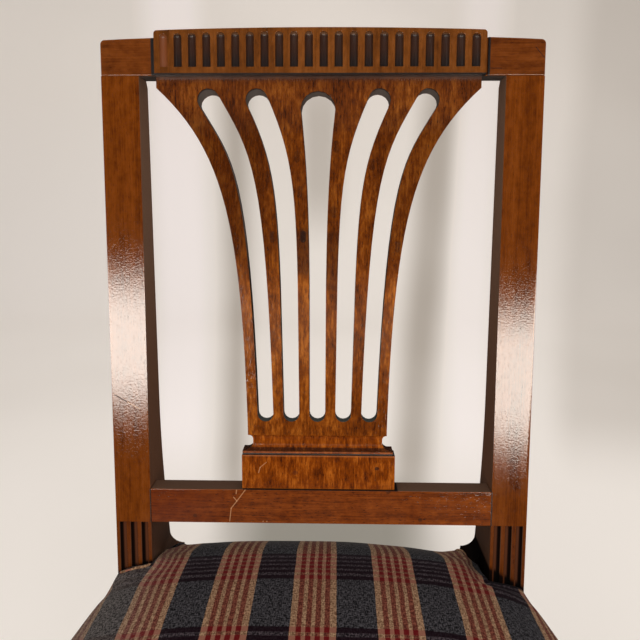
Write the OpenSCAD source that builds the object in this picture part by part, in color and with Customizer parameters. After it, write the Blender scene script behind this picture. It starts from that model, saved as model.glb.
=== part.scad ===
// Georgian-style side chair: a pierced fan splat, a fluted crest tablet and a stuff-over seat.
// Millimetres. +Z is up and the chair faces -Y. The origin is on the floor, under the middle of the chair.
// The seat line is the level and the place where the seat cover meets the front of the back posts.

/* [Seat] */
// Height of the seat line above the floor
seat_h = 450; // [430:1:480]
// Width over the front legs
front_w = 508; // [480:1:540]
// Distance from the front of the back posts to the front of the front legs
seat_d = 379; // [360:1:400]
// Height of the seat rails
rail_h = 62; // [56:1:70]
// Thickness of the seat rails
rail_t = 25; // [23:0.5:27]
// Drop from the seat line to the top of the seat rails
rail_drop = 20; // [18:1:24]
// Forward bow of the front seat rail
front_bow = 8; // [2:1:12]
// Distance from the seat line back to the rear face of the back seat rail
back_rail_reach = 75; // [72:0.5:78]

/* [Upholstery] */
// Height of the crown above the seat rails
crown_h = 58; // [45:1:70]
// Squareness of the crown: 2 is an ellipse and more is flatter with fuller edges
crown_power = 2.6; // [2.2:0.1:3.4]
// Bulge of the stuffed sides beyond the rails
side_bulge = 8; // [3:0.5:12]
// Bulge of the stuffed front beyond the rail
front_bulge = 6; // [3:0.5:10]
// Thickness of the seat cover with its lining
cover_t = 1.6; // [1.2:0.1:2]
// Radius of the cover at its front corners
corner_r = 10; // [8:1:14]
// Number of web strips each way
strip_count = 4; // [3:1:4]
// Width of a web strip
strip_w = 50; // [44:1:54]
// Thickness of a web strip
strip_t = 1.2; // [1:0.1:1.6]
// Thickness of the hessian and of the dust cover
sheet_t = 0.8; // [0.6:0.1:1.2]
// Width of a tack's head
tack_head_w = 5.2; // [4:0.2:6]
// Length of a tack's shank
tack_l = 8; // [6:0.5:10]

/* [Back posts] */
// Width over the back posts
back_w = 410; // [400:1:424]
// Width of a back post
post_w = 35.3; // [34:0.1:37]
// Lean of the back from the vertical
rake = 9.5; // [8:0.5:11]
// Depth of a post just below the crest
post_top_d = 33; // [31:0.5:36]
// Distance from the seat line back to the knee on the rear of a post
knee_back = 70; // [66:1:74]
// Height of that knee above the seat line
knee_rise = 115; // [105:1:125]
// Distance from the seat line back to the rear of the back feet
foot_reach = 138; // [128:1:148]
// Depth of a back foot
foot_d = 38; // [34:1:44]
// Radius of the coves between a post and the back seat rail
cove_r = 15; // [12:0.5:16]
// Height of the upper cove's foot above the top of the back seat rail
cove_rise = 10; // [8:0.5:13]
// Number of flutes at the foot of each stile
stile_flutes = 3; // [2:1:3]
// Spacing of those flutes
stile_flute_pitch = 10.9; // [9.5:0.1:11.5]
// Radius of those flutes
stile_flute_r = 3.8; // [3.4:0.1:4]

/* [Crest and lower rail] */
// Height of the crest's ends above the seat line, along the back
back_h = 529; // [500:1:560]
// Height of the crest rail at its ends
crest_h = 32.4; // [30:0.1:36]
// Thickness of the crest rail
crest_t = 28; // [26:0.5:30]
// Rise of the crest's top from its ends to its middle
crest_rise = 4.3; // [2:0.1:8]
// Length of the fluted tablet
tablet_w = 304; // [296:1:312]
// Rise of the tablet above the crest's ends
tablet_rise = 5; // [3:0.1:7]
// Thickness of the tablet
tablet_t = 8; // [7:0.5:9]
// Depth of the seat for the tablet in the crest rail
tablet_seat = 2; // [1:0.5:3]
// Number of flutes on the tablet
tablet_flutes = 22; // [16:1:22]
// Spacing of the tablet's flutes
tablet_flute_pitch = 13.6; // [12.5:0.1:13.6]
// Radius of the tablet's flutes
tablet_flute_r = 4.1; // [3.6:0.1:4.4]
// Plain margin under the tablet's flutes
tablet_margin_low = 7; // [5:0.5:8]
// Plain margin over the tablet's flutes
tablet_margin_top = 3; // [2.5:0.5:4]
// Height of the lower back rail's underside above the seat line, along the back
lower_rail_v = 63.5; // [60:0.5:68]
// Height of the lower back rail
lower_rail_h = 35; // [33:0.5:39]
// Thickness of the lower back rail
lower_rail_t = 26.4; // [25:0.1:28]

/* [Splat and shoe] */
// Thickness of the splat
splat_t = 14.5; // [13:0.5:16]
// Setback of the splat from the front of the back
splat_set = 5; // [4.5:0.5:6.5]
// Width of the splat at its head
splat_head_w = 303; // [296:1:308]
// Width of the splat at its waist
splat_waist_w = 137.6; // [134:0.2:142]
// Width of the slots at their feet
slot_low_w = 15.6; // [14:0.2:16.5]
// Width of the four side slots at their heads
slot_high_w = 20.6; // [19:0.2:21.5]
// Width of the middle slot at its head
slot_mid_w = 32.5; // [28:0.5:33]
// Spacing of the slots' feet
slot_pitch = 25.6; // [25:0.1:26.2]
// Distance from the crest down to the heads of the side slots' centre lines
slot_head_drop = 20.5; // [19:0.5:24]
// Distance from the crest down to the head of the middle slot's centre line
slot_mid_drop = 29; // [27:0.5:32]
// Height of the shoe block
shoe_h = 35; // [32:0.2:37]
// Length of the shoe block
shoe_w = 152; // [148:1:158]
// Setback of the shoe block from the lower rail's front
shoe_set = 3; // [2:0.5:3.5]
// Height of the shoe's moulding
moulding_h = 19.5; // [18:0.5:24]
// Height of the moulding's fillet
fillet_h = 4; // [3:0.5:5]
// Setback of the neck from the fillet at the ends
neck_in = 10.4; // [9:0.2:12]
// Width over the moulding's fillet
fillet_w = 149.2; // [146:0.2:152]

/* [Legs and stretchers] */
// Width of a front leg at the rails
leg_w = 42; // [40:1:44]
// Width of a front foot
front_foot_w = 29; // [26:1:34]
// Spacing of the flutes on a front leg
leg_flute_pitch = 9.6; // [9:0.1:10.4]
// Radius of those flutes
leg_flute_r = 3.2; // [2.8:0.1:3.4]
// Height of the stretchers' middle above the floor
stretcher_z = 150; // [130:1:170]
// Height of the back stretcher's middle above the floor
back_stretcher_z = 205; // [200:1:225]
// Height of a stretcher
stretcher_h = 32; // [28:1:36]
// Thickness of a stretcher
stretcher_t = 18; // [16:0.5:20]

/* [Joints and fixings] */
// Thickness of the tenons
tenon_t = 9; // [8:0.5:10]
// Length of the long tenons
tenon_l = 22; // [18:1:24]
// Shoulder between a tenon's edges and the edges of its rail
tenon_shoulder = 8; // [6:0.5:9]
// Height of the corner blocks
block_h = 34; // [28:1:40]
// Length of the corner blocks along the rails
block_l = 52; // [48:1:56]
// Diameter of the corner block screws
screw_d = 4; // [3.5:0.5:4.5]
// Length of the corner block screws
screw_l = 34; // [32:1:38]
// Clearance around tenons, screws and tack shanks
fit_gap = 0.1; // [0.05:0.05:0.2]
// Clearance between soft pieces and what they touch
soft_gap = 0.3; // [0.2:0.05:0.4]

/* [Hidden] */
$fn = 48;
eps = 0.5;

mahogany = "#8a4a22";
beech = "#b98d5c";
web_colour = "#a08a5e";
steel = "#8c8c90";

// Heights above the floor line up on the seat line
rail_top = -rail_drop;
rail_low = -rail_drop - rail_h;
floor_z = -seat_h;
shoulder_y = rail_top * tan(rake);
inner_x = back_w / 2 - post_w;
ear_x = inner_x - cove_r;
crest_low = back_h - crest_h;
cover_out = cover_t + 1;
cover_x = front_w / 2 + cover_out;
cover_back = back_rail_reach + cover_out;
back_rail_front = back_rail_reach - rail_t;
front_reach = seat_d + cover_out + front_bow + front_bulge;
crest_reach = back_h * sin(rake) + crest_t * cos(rake);
back_y = (front_reach - max(foot_reach, crest_reach)) / 2;

function bezier(a, b, c, d, t) =
  pow(1 - t, 3) * a + 3 * pow(1 - t, 2) * t * b + 3 * (1 - t) * t * t * c + pow(t, 3) * d;
function curve(a, b, c, d, steps) = [for (i = [0:steps]) bezier(a, b, c, d, i / steps)];
// A point of the back, v along its lean and w behind its front, as [y, z]
function on_back(v, w) = [v * sin(rake) + w * cos(rake), v * cos(rake) - w * sin(rake)];
function reversed(list) = [for (i = [len(list) - 1:-1:0]) list[i]];
function flipped(list) = [for (p = reversed(list)) [-p[0], p[1]]];
// The point at a distance from a towards b
function toward(a, b, distance) = a + (b - a) * distance / norm(b - a);

// Children are drawn about the seat line, with y and z from it
module at_seat() translate([0, back_y, seat_h]) children();
// Children are drawn on the leaning back: x across, y behind its front, z along its lean
module on_lean() at_seat() rotate([-rake, 0, 0]) children();
// A plate from an outline in x and z, from y = front to y = front + depth
module plate(front, depth)
  translate([0, front + depth, 0]) rotate([90, 0, 0]) linear_extrude(depth) children();
// A plate from an outline in y and z, from x = low to x = low + width
module slice(low, width) translate([low, 0, 0]) rotate([90, 0, 90]) linear_extrude(width) children();
module block(from, to) translate(from) cube(to - from);
module mirrored(side) mirror([side < 0 ? 1 : 0, 0, 0]) children();
module both_sides() for (side = [-1, 1]) mirrored(side) children();

// Back posts: each is a stile and a back leg sawn in one piece
leg_curve_steps = 14;
knee_round = 60;
knee_steps = 10;
// Handles of the curve down the front of the leg, at the seat rail and at the foot
leg_top_handle = [38, -28];
leg_foot_handle = [-22, 150];
stile_bevel = 6;
front_knee = [shoulder_y, rail_low];
rear_foot = [foot_reach, floor_z];
knee = [knee_back, knee_rise];
stile_rear = on_back(crest_low - stile_bevel, post_top_d);
front_foot = [foot_reach - foot_d, floor_z];
function leg_front_curve() =
  curve(front_knee, front_knee + leg_top_handle, front_foot + leg_foot_handle, front_foot, leg_curve_steps);
function knee_curve() =
  let (a = toward(knee, rear_foot, knee_round), b = toward(knee, stile_rear, knee_round))
  [for (i = [0:knee_steps]) let (t = i / knee_steps)
    (1 - t) * (1 - t) * a + 2 * (1 - t) * t * knee + t * t * b];
function post_outline() = concat(
  [on_back(crest_low, 0), [shoulder_y, rail_top]], leg_front_curve(), [rear_foot], knee_curve(),
  [stile_rear, on_back(crest_low, crest_t)]);
module post_blank(extra = 0) at_seat() slice(inner_x - extra, post_w + extra) polygon(post_outline());
// The inward swelling at the back seat rail, with a cove over it and one under it
module post_ear() {
  cove_z = rail_top + cove_rise + cove_r;
  arc_steps = 8;
  upper = [for (i = [0:arc_steps]) [ear_x + cove_r * sin(90 * i / arc_steps),
    cove_z - cove_r * cos(90 * i / arc_steps)]];
  lower = [for (i = [arc_steps:-1:0]) [ear_x + cove_r * sin(90 * i / arc_steps),
    rail_low - cove_r + cove_r * cos(90 * i / arc_steps)]];
  intersection() {
    post_blank(cove_r);
    at_seat() plate(back_rail_front, foot_reach) polygon(concat(upper,
      [[inner_x + eps, cove_z], [inner_x + eps, rail_low - cove_r]], lower));
  }
}
// A flute's axis stands this far in front of the face that it is cut in
flute_stand = 1.2;
module stile_flutes_cut() for (i = [0:stile_flutes - 1])
  translate([back_w / 2 - post_w / 2 + (i - (stile_flutes - 1) / 2) * stile_flute_pitch, -flute_stand,
    rail_top + eps]) cylinder(r = stile_flute_r, h = lower_rail_v - rail_top - eps);
module back_post() {
  difference() {
    union() {
      post_blank();
      post_ear();
    }
    on_lean() stile_flutes_cut();
    lower_rail_tenon(fit_gap);
    back_rail_tenon(fit_gap);
    side_rail_rear_tenon(fit_gap);
    side_stretcher_rear_tenon(fit_gap);
    back_stretcher_tenon(fit_gap);
    corner_screws(fit_gap);
  }
  crest_tenon(0);
}
module back_post_left() color(mahogany) mirrored(-1) back_post();
module back_post_right() color(mahogany) back_post();

// Crest rail over the stiles, raised in the middle behind the tablet
crest_steps = 12;
crest_corner = 4;
tablet_corner = 3;
corner_steps = 5;
function crest_arc(x) = back_h + crest_rise * (1 - pow(2 * x / back_w, 2));
// Right half of a board under the crest's arc, with its corner rounded
function half_board(reach, corner, lift) = concat([[reach, crest_low]],
  [for (i = [0:corner_steps]) let (turn = 90 * i / corner_steps)
    [reach - corner * (1 - cos(turn)), crest_arc(reach) + lift - corner * (1 - sin(turn))]],
  [for (i = [1:crest_steps]) let (x = (reach - corner) * (1 - i / crest_steps)) [x, crest_arc(x) + lift]]);
function board(half) = concat(half, flipped(half));
function tablet_outline() = board(half_board(tablet_w / 2, tablet_corner, tablet_rise));
tenon_mid = crest_t / 2;
crest_tenon_h = 20;
module crest_tenon(gap) on_lean()
  block([inner_x + tenon_shoulder - gap, tenon_mid - tenon_t / 2 - gap, crest_low - eps],
    [back_w / 2 - tenon_shoulder + gap, tenon_mid + tenon_t / 2 + gap, crest_low + crest_tenon_h + gap]);
splat_tongue_h = 7;
splat_tongue_t = 6;
splat_mid = splat_set + splat_t / 2;
module splat_tongue(gap) on_lean()
  block([-splat_head_w / 2 + tenon_shoulder - gap, splat_mid - splat_tongue_t / 2 - gap, crest_low - eps],
    [splat_head_w / 2 - tenon_shoulder + gap, splat_mid + splat_tongue_t / 2 + gap,
      crest_low + splat_tongue_h + gap]);
module crest_rail() color(mahogany) difference() {
  on_lean() plate(0, crest_t) union() {
    polygon(board(half_board(back_w / 2, crest_corner, 0)));
    polygon(tablet_outline());
  }
  // The seat for the tablet is open at its top and at its foot
  on_lean() block([-tablet_w / 2, -eps, crest_low - eps],
    [tablet_w / 2, tablet_seat, back_h + crest_rise + tablet_rise + eps]);
  both_sides() crest_tenon(fit_gap);
  splat_tongue(fit_gap);
}

// Fluted tablet, glued into a shallow seat on the crest
module tablet_flute(x) {
  low = crest_low + tablet_margin_low;
  high = crest_arc(x) + tablet_rise - tablet_margin_top - tablet_flute_r;
  translate([x, tablet_seat - tablet_t - flute_stand, low]) {
    cylinder(r = tablet_flute_r, h = high - low);
    translate([0, 0, high - low]) sphere(r = tablet_flute_r);
  }
}
module crest_tablet() color(mahogany) on_lean() difference() {
  plate(tablet_seat - tablet_t, tablet_t) polygon(tablet_outline());
  for (i = [0:tablet_flutes - 1]) tablet_flute((i - (tablet_flutes - 1) / 2) * tablet_flute_pitch);
}

// Splat: six ribs that fan out between five slots
splat_foot = lower_rail_v + lower_rail_h + shoe_h + moulding_h;
edge_steps = 24;
slot_steps = 16;
cap_steps = 8;
edge_foot = [splat_waist_w / 2, splat_foot + 6];
edge_head = [splat_head_w / 2, crest_low - 10];
edge_foot_handle = [4.6, 203];
edge_head_handle = [-62.6, -57.3];
slot_foot_rise = 21.6;
slot_foot_v = splat_foot + slot_foot_rise;
slot_head_v = [crest_low - slot_mid_drop, crest_low - slot_head_drop, crest_low - slot_head_drop];
// Reach of the slots' heads and handles of their centre lines, from the middle slot outwards
slot_head_x = [0, 57.6, 103];
slot_foot_handle = [[0, 100], [3.2, 211], [7.5, 241]];
slot_head_handle = [[0, -100], [-29.7, -66], [-31.3, -53.5]];
slot_high = [slot_mid_w, slot_high_w, slot_high_w];
slot_swell = [4.2, 0.8, 1.1];
function slot_point(k, t) = let (foot = [k * slot_pitch, slot_foot_v], head = [slot_head_x[k], slot_head_v[k]])
  bezier(foot, foot + slot_foot_handle[k], head + slot_head_handle[k], head, t);
function slot_half(k, t) = (slot_low_w + (slot_high[k] - slot_low_w) * pow(t, slot_swell[k])) / 2;
function slot_heading(k, t) =
  let (d = slot_point(k, min(t + 0.01, 1)) - slot_point(k, max(t - 0.01, 0))) atan2(d[1], d[0]);
// A point at the slot's wall, turned by an angle from its centre line
function slot_wall(k, t, turn) =
  slot_point(k, t) + slot_half(k, t) * [cos(slot_heading(k, t) + turn), sin(slot_heading(k, t) + turn)];
function slot_outline(k) = concat(
  [for (i = [0:slot_steps]) slot_wall(k, i / slot_steps, -90)],
  [for (i = [1:cap_steps - 1]) slot_wall(k, 1, -90 + 180 * i / cap_steps)],
  [for (i = [slot_steps:-1:0]) slot_wall(k, i / slot_steps, 90)],
  [for (i = [1:cap_steps - 1]) slot_wall(k, 0, 90 + 180 * i / cap_steps)]);
function splat_half_outline() = concat([[splat_waist_w / 2, splat_foot]],
  curve(edge_foot, edge_foot + edge_foot_handle, edge_head + edge_head_handle, edge_head, edge_steps),
  [[splat_head_w / 2, crest_low]]);
splat_tenon_w = 100;
splat_tenon_depth = moulding_h + 12;
module splat_tenon(gap) on_lean()
  block([-splat_tenon_w / 2 - gap, splat_mid - splat_tongue_t / 2 - gap,
      splat_foot - splat_tenon_depth - gap],
    [splat_tenon_w / 2 + gap, splat_mid + splat_tongue_t / 2 + gap, splat_foot + eps]);
module splat() color(mahogany) {
  on_lean() plate(splat_set, splat_t) difference() {
    polygon(concat(splat_half_outline(), flipped(splat_half_outline())));
    polygon(slot_outline(0));
    for (k = [1:2]) {
      polygon(slot_outline(k));
      polygon(flipped(slot_outline(k)));
    }
  }
  splat_tongue(0);
  splat_tenon(0);
}

// Shoe: a block on the lower rail, and a scotia moulding that stands under the splat
shoe_v = lower_rail_v + lower_rail_h;
shoe_d = lower_rail_t - 2 * shoe_set;
neck_set = splat_set + 2;
neck_d = splat_t - 4;
fillet_set = shoe_set + 1;
scotia_top = 11.5;
scotia_share = 0.92;
scotia_steps = 8;
cove_h = 4.5;
cove_steps = 6;
// Half the moulding's outline, with its place at the fillet, at the neck and at the top
function scotia(foot, neck, top, base) = concat([[foot, base], [foot, base + fillet_h]],
  [for (i = [0:scotia_steps]) [neck + (foot - neck) * scotia_share * (1 - sin(90 * i / scotia_steps)),
    base + fillet_h + (scotia_top - fillet_h) * (1 - cos(90 * i / scotia_steps))]],
  [for (i = [0:cove_steps]) let (turn = 90 * i / cove_steps)
    [neck + (top - neck) * (1 - cos(turn)), base + moulding_h - cove_h * (1 - sin(turn))]]);
module shoe_block() color(mahogany) difference() {
  on_lean() block([-shoe_w / 2, shoe_set, shoe_v], [shoe_w / 2, shoe_set + shoe_d, shoe_v + shoe_h]);
  splat_tenon(fit_gap);
}
module shoe_moulding() color(mahogany) difference() {
  base = shoe_v + shoe_h;
  mid = lower_rail_t / 2;
  front = scotia(mid - fillet_set, mid - neck_set, mid - splat_set, base);
  rear = scotia(mid - fillet_set, neck_set + neck_d - mid, splat_set + splat_t - mid, base);
  ends = scotia(fillet_w / 2, fillet_w / 2 - neck_in, splat_waist_w / 2, base);
  on_lean() intersection() {
    plate(fillet_set - eps, lower_rail_t) polygon(concat(ends, flipped(ends)));
    translate([0, mid, 0]) slice(-shoe_w / 2, shoe_w) polygon(concat(rear, flipped(front)));
  }
  splat_tenon(fit_gap);
}

// Lower back rail
module lower_rail_tenon(gap) on_lean()
  block([inner_x - eps, lower_rail_t / 2 - tenon_t / 2 - gap, lower_rail_v + tenon_shoulder - gap],
    [inner_x + tenon_l + gap, lower_rail_t / 2 + tenon_t / 2 + gap,
      lower_rail_v + lower_rail_h - tenon_shoulder + gap]);
module lower_back_rail() color(mahogany) {
  on_lean() block([-inner_x, 0, lower_rail_v], [inner_x, lower_rail_t, lower_rail_v + lower_rail_h]);
  both_sides() lower_rail_tenon(0);
}

// Seat rails. The side rails splay from the posts to the front legs.
leg_rear = -(seat_d - leg_w);
side_start = back_w / 2 - cover_out;
side_slope = (front_w / 2 - side_start) / (shoulder_y - leg_rear);
function rail_x(y) = side_start + side_slope * (shoulder_y - y);
rail_run = rail_t * sqrt(1 + side_slope * side_slope);
tenon_low = rail_low + tenon_shoulder;
tenon_top = rail_top - tenon_shoulder;
rear_tenon_x = rail_x(shoulder_y) - rail_t / 2;
front_tenon_x = front_w / 2 - rail_t / 2;
front_tenon_y = -seat_d + rail_t / 2;
back_tenon_y = back_rail_reach - rail_t / 2;
// Wood left between two tenons that meet in one leg or post
tenon_spare = 2.5;
short_tenon_l = leg_w - rail_t / 2 - tenon_t / 2 - tenon_spare;
module side_rail_rear_tenon(gap) at_seat()
  block([rear_tenon_x - tenon_t / 2 - gap, shoulder_y - eps, tenon_low - gap],
    [rear_tenon_x + tenon_t / 2 + gap, shoulder_y + tenon_l + gap, tenon_top + gap]);
module side_rail_front_tenon(gap) at_seat()
  block([front_tenon_x - tenon_t / 2 - gap, leg_rear - tenon_l - gap, tenon_low - gap],
    [front_tenon_x + tenon_t / 2 + gap, leg_rear + eps, tenon_top + gap]);
module front_rail_tenon(gap) at_seat()
  block([front_w / 2 - leg_w - eps, front_tenon_y - tenon_t / 2 - gap, tenon_low - gap],
    [front_w / 2 - leg_w + short_tenon_l + gap, front_tenon_y + tenon_t / 2 + gap, tenon_top + gap]);
module back_rail_tenon(gap) at_seat()
  block([ear_x - eps, back_tenon_y - tenon_t / 2 - gap, tenon_low - gap],
    [ear_x + tenon_l + gap, back_tenon_y + tenon_t / 2 + gap, tenon_top + gap]);
module side_rail() {
  difference() {
    at_seat() translate([0, 0, rail_low]) linear_extrude(rail_h) polygon([
      [rail_x(shoulder_y) - rail_run, shoulder_y], [rail_x(shoulder_y), shoulder_y],
      [rail_x(leg_rear), leg_rear], [rail_x(leg_rear) - rail_run, leg_rear]]);
    corner_screws(fit_gap);
    tack_shanks(fit_gap);
  }
  side_rail_rear_tenon(0);
  side_rail_front_tenon(0);
}
module seat_rail_left() color(beech) mirrored(-1) side_rail();
module seat_rail_right() color(beech) side_rail();
bow_steps = 16;
bow_half = front_w / 2 - leg_w;
function bow(x) = front_bow * max(0, 1 - pow(x / bow_half, 2));
module seat_rail_front() color(beech) {
  difference() {
    at_seat() translate([0, 0, rail_low]) linear_extrude(rail_h) polygon(concat(
      [[bow_half, -seat_d + rail_t], [-bow_half, -seat_d + rail_t]],
      [for (i = [0:bow_steps]) let (x = bow_half * (2 * i / bow_steps - 1)) [x, -seat_d - bow(x)]]));
    both_sides() corner_screws(fit_gap);
    both_sides() tack_shanks(fit_gap);
  }
  both_sides() front_rail_tenon(0);
}
module seat_rail_back() color(beech) {
  difference() {
    at_seat() block([-ear_x, back_rail_front, rail_low], [ear_x, back_rail_reach, rail_top]);
    both_sides() corner_screws(fit_gap);
    both_sides() tack_shanks(fit_gap);
  }
  both_sides() back_rail_tenon(0);
}

// Front legs: square, tapered on the two inner faces, fluted on the two outer faces
leg_corner = 7;
leg_flute_drop = 28;
leg_flute_rise = 62;
leg_flute_top = rail_low - leg_flute_drop;
leg_flute_low = floor_z + leg_flute_rise;
leg_flute_depth = 2.2;
module leg_blank() at_seat() intersection() {
  plate(-seat_d - eps, leg_w + 2 * eps) polygon([[front_w / 2, floor_z], [front_w / 2, rail_top],
    [front_w / 2 - leg_w, rail_top], [front_w / 2 - leg_w, rail_low], [front_w / 2 - front_foot_w, floor_z]]);
  slice(front_w / 2 - leg_w - eps, leg_w + 2 * eps) polygon([[-seat_d, floor_z], [-seat_d, rail_top],
    [-seat_d + leg_w, rail_top], [-seat_d + leg_w, rail_low], [-seat_d + front_foot_w, floor_z]]);
}
module leg_flute() translate([0, 0, leg_flute_low]) {
  cylinder(r = leg_flute_r, h = leg_flute_top - leg_flute_low);
  sphere(r = leg_flute_r);
  translate([0, 0, leg_flute_top - leg_flute_low]) sphere(r = leg_flute_r);
}
module front_leg() difference() {
  mid = front_foot_w / 2;
  stand = leg_flute_r - leg_flute_depth;
  leg_blank();
  // The outer corner is cut back where the cover wraps it
  at_seat() translate([front_w / 2, -seat_d, rail_low - eps]) rotate([0, 0, 45])
    translate([-leg_corner, -leg_corner / sqrt(2), 0])
      cube([2 * leg_corner, leg_corner * sqrt(2), rail_h + 2 * eps]);
  for (i = [-1:1]) {
    at_seat() translate([front_w / 2 - mid + i * leg_flute_pitch, -seat_d - stand, 0]) leg_flute();
    at_seat() translate([front_w / 2 + stand, -seat_d + mid + i * leg_flute_pitch, 0]) leg_flute();
  }
  side_rail_front_tenon(fit_gap);
  front_rail_tenon(fit_gap);
  side_stretcher_front_tenon(fit_gap);
  tack_shanks(fit_gap);
}
module front_leg_left() color(mahogany) mirrored(-1) front_leg();
module front_leg_right() color(mahogany) front_leg();

// Stretchers: one at each side, one across between them and one between the back legs
stretcher_mid = floor_z + stretcher_z;
back_stretcher_mid = floor_z + back_stretcher_z;
function leg_width_at(z) = front_foot_w + (leg_w - front_foot_w) * (z - floor_z) / (rail_low - floor_z);
function rear_y(z) = foot_reach + (knee_back - foot_reach) * (z - floor_z) / (knee_rise - floor_z);
leg_section = leg_width_at(stretcher_mid);
bar_front = [front_w / 2 - leg_section / 2, -seat_d + leg_section / 2];
bar_rear = [back_w / 2 - post_w / 2, rear_y(stretcher_mid) - foot_d / 2];
bar_slope = (bar_front[0] - bar_rear[0]) / (bar_rear[1] - bar_front[1]);
bar_run = stretcher_t * sqrt(1 + bar_slope * bar_slope) / 2;
function bar_x(y) = bar_rear[0] + bar_slope * (bar_rear[1] - y);
bar_tenon_t = tenon_t - 2;
bar_tenon_h = stretcher_h - 2 * tenon_shoulder;
// Reach of a side stretcher's tenons past the middle of the leg and past the middle of the post
bar_tenon_reach = 4;
module side_bar() at_seat() translate([0, 0, stretcher_mid - stretcher_h / 2]) linear_extrude(stretcher_h)
  polygon([[bar_rear[0] - bar_run, bar_rear[1]], [bar_rear[0] + bar_run, bar_rear[1]],
    [bar_front[0] + bar_run, bar_front[1]], [bar_front[0] - bar_run, bar_front[1]]]);
module bar_tenon(x, from, to, gap) at_seat()
  block([x - bar_tenon_t / 2 - gap, from - gap, stretcher_mid - bar_tenon_h / 2 - gap],
    [x + bar_tenon_t / 2 + gap, to + gap, stretcher_mid + bar_tenon_h / 2 + gap]);
module side_stretcher_front_tenon(gap)
  bar_tenon(bar_front[0], bar_front[1] - bar_tenon_reach, -seat_d + leg_section + 4 * eps, gap);
module side_stretcher_rear_tenon(gap)
  bar_tenon(bar_rear[0], bar_rear[1] - foot_d, bar_rear[1] + bar_tenon_reach, gap);
cross_y = (bar_front[1] + bar_rear[1]) / 2;
cross_tenon_l = 9;
module cross_tenon(gap) at_seat()
  block([bar_x(cross_y) - bar_run - 4 * eps, cross_y - bar_tenon_t / 2 - gap,
      stretcher_mid - bar_tenon_h / 2 - gap],
    [bar_x(cross_y) - bar_run + cross_tenon_l + gap, cross_y + bar_tenon_t / 2 + gap,
      stretcher_mid + bar_tenon_h / 2 + gap]);
module side_stretcher() {
  difference() {
    side_bar();
    leg_blank();
    post_blank();
    cross_tenon(fit_gap);
  }
  intersection() {
    side_stretcher_front_tenon(0);
    union() {
      leg_blank();
      side_bar();
    }
  }
  intersection() {
    side_stretcher_rear_tenon(0);
    union() {
      post_blank();
      side_bar();
    }
  }
}
module side_stretcher_left() color(mahogany) mirrored(-1) side_stretcher();
module side_stretcher_right() color(mahogany) side_stretcher();
module cross_stretcher() color(mahogany) {
  reach = bar_x(cross_y);
  difference() {
    at_seat() block([-reach, cross_y - stretcher_t / 2, stretcher_mid - stretcher_h / 2],
      [reach, cross_y + stretcher_t / 2, stretcher_mid + stretcher_h / 2]);
    both_sides() side_bar();
  }
  both_sides() cross_tenon(0);
}
back_stretcher_inset = 26;
back_stretcher_y = rear_y(back_stretcher_mid) - back_stretcher_inset;
back_tenon_l = post_w / 2 - bar_tenon_t / 2 - tenon_spare;
module back_stretcher_tenon(gap) at_seat()
  block([inner_x - eps, back_stretcher_y - bar_tenon_t / 2 - gap, back_stretcher_mid - bar_tenon_h / 2 - gap],
    [inner_x + back_tenon_l + gap, back_stretcher_y + bar_tenon_t / 2 + gap,
      back_stretcher_mid + bar_tenon_h / 2 + gap]);
module back_stretcher() color(mahogany) {
  at_seat() block([-inner_x, back_stretcher_y - stretcher_t / 2, back_stretcher_mid - stretcher_h / 2],
    [inner_x, back_stretcher_y + stretcher_t / 2, back_stretcher_mid + stretcher_h / 2]);
  both_sides() back_stretcher_tenon(0);
}

// Corner blocks, screwed to the rails below the webbing
block_top = rail_top - 10;
block_nose = 9;
front_inner_y = -seat_d + rail_t;
front_inner_x = rail_x(front_inner_y) - rail_run;
splay = atan(side_slope);
// Unit steps from the front inner corner: along the front rail and along the side rail
along_front = [-1, 0];
along_side = [-sin(splay), cos(splay)];
front_corner = [front_inner_x, front_inner_y];
leg_inner = [front_w / 2 - leg_w - fit_gap, leg_rear + fit_gap];
module block_prism(points)
  at_seat() translate([0, 0, block_top - block_h]) linear_extrude(block_h) polygon(points);
module corner_block_front() difference() {
  block_prism([[leg_inner[0], front_inner_y], leg_inner, [rail_x(leg_inner[1]) - rail_run, leg_inner[1]],
    front_corner + block_l * along_side, front_corner + block_l * along_side + block_nose * along_front,
    front_corner + block_l * along_front + block_nose * along_side, front_corner + block_l * along_front]);
  corner_screws(fit_gap);
}
back_corner = [inner_x, back_rail_front];
back_block_l = block_l - 8;
module corner_block_back() difference() {
  block_prism([back_corner, back_corner - [0, back_block_l], back_corner - [block_nose, back_block_l],
    back_corner - [block_l, block_nose], back_corner - [block_l, 0]]);
  corner_screws(fit_gap);
}
module corner_block_front_left() color(beech) mirrored(-1) corner_block_front();
module corner_block_front_right() color(beech) corner_block_front();
module corner_block_back_left() color(beech) mirrored(-1) corner_block_back();
module corner_block_back_right() color(beech) corner_block_back();

// A countersunk screw along +Z, with its head's top at z = 0
screw_head_h = 2.6;
module wood_screw(gap) {
  translate([0, 0, -gap]) cylinder(r1 = screw_d + gap, r2 = screw_d / 2 + gap, h = screw_head_h + gap);
  cylinder(r = screw_d / 2 + gap, h = screw_l + gap);
}
// Two screws through each block, one under the level of the other so that they pass
screw_stand = 20;
screw_depth = 16;
screw_slant_at = block_l - 18;
screw_step = 6;
module corner_screws(gap) at_seat() translate([0, 0, block_top - block_h / 2]) {
  front_a = front_corner + screw_slant_at * along_front;
  front_b = front_corner + screw_slant_at * along_side;
  translate([front_a[0], front_a[1] + screw_depth, -screw_step]) rotate([90, 0, 0]) screw_with_slot(gap);
  translate([front_b[0] - screw_depth * cos(splay), front_b[1] - screw_depth * sin(splay), screw_step])
    rotate([0, 0, splay]) rotate([0, 90, 0]) screw_with_slot(gap);
  translate([back_corner[0] - screw_slant_at, back_corner[1] - screw_depth, -screw_step])
    rotate([-90, 0, 0]) screw_with_slot(gap);
  translate([back_corner[0] - screw_stand, back_corner[1] - screw_stand, screw_step])
    rotate([0, 90, 0]) screw_with_slot(gap);
}
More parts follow.
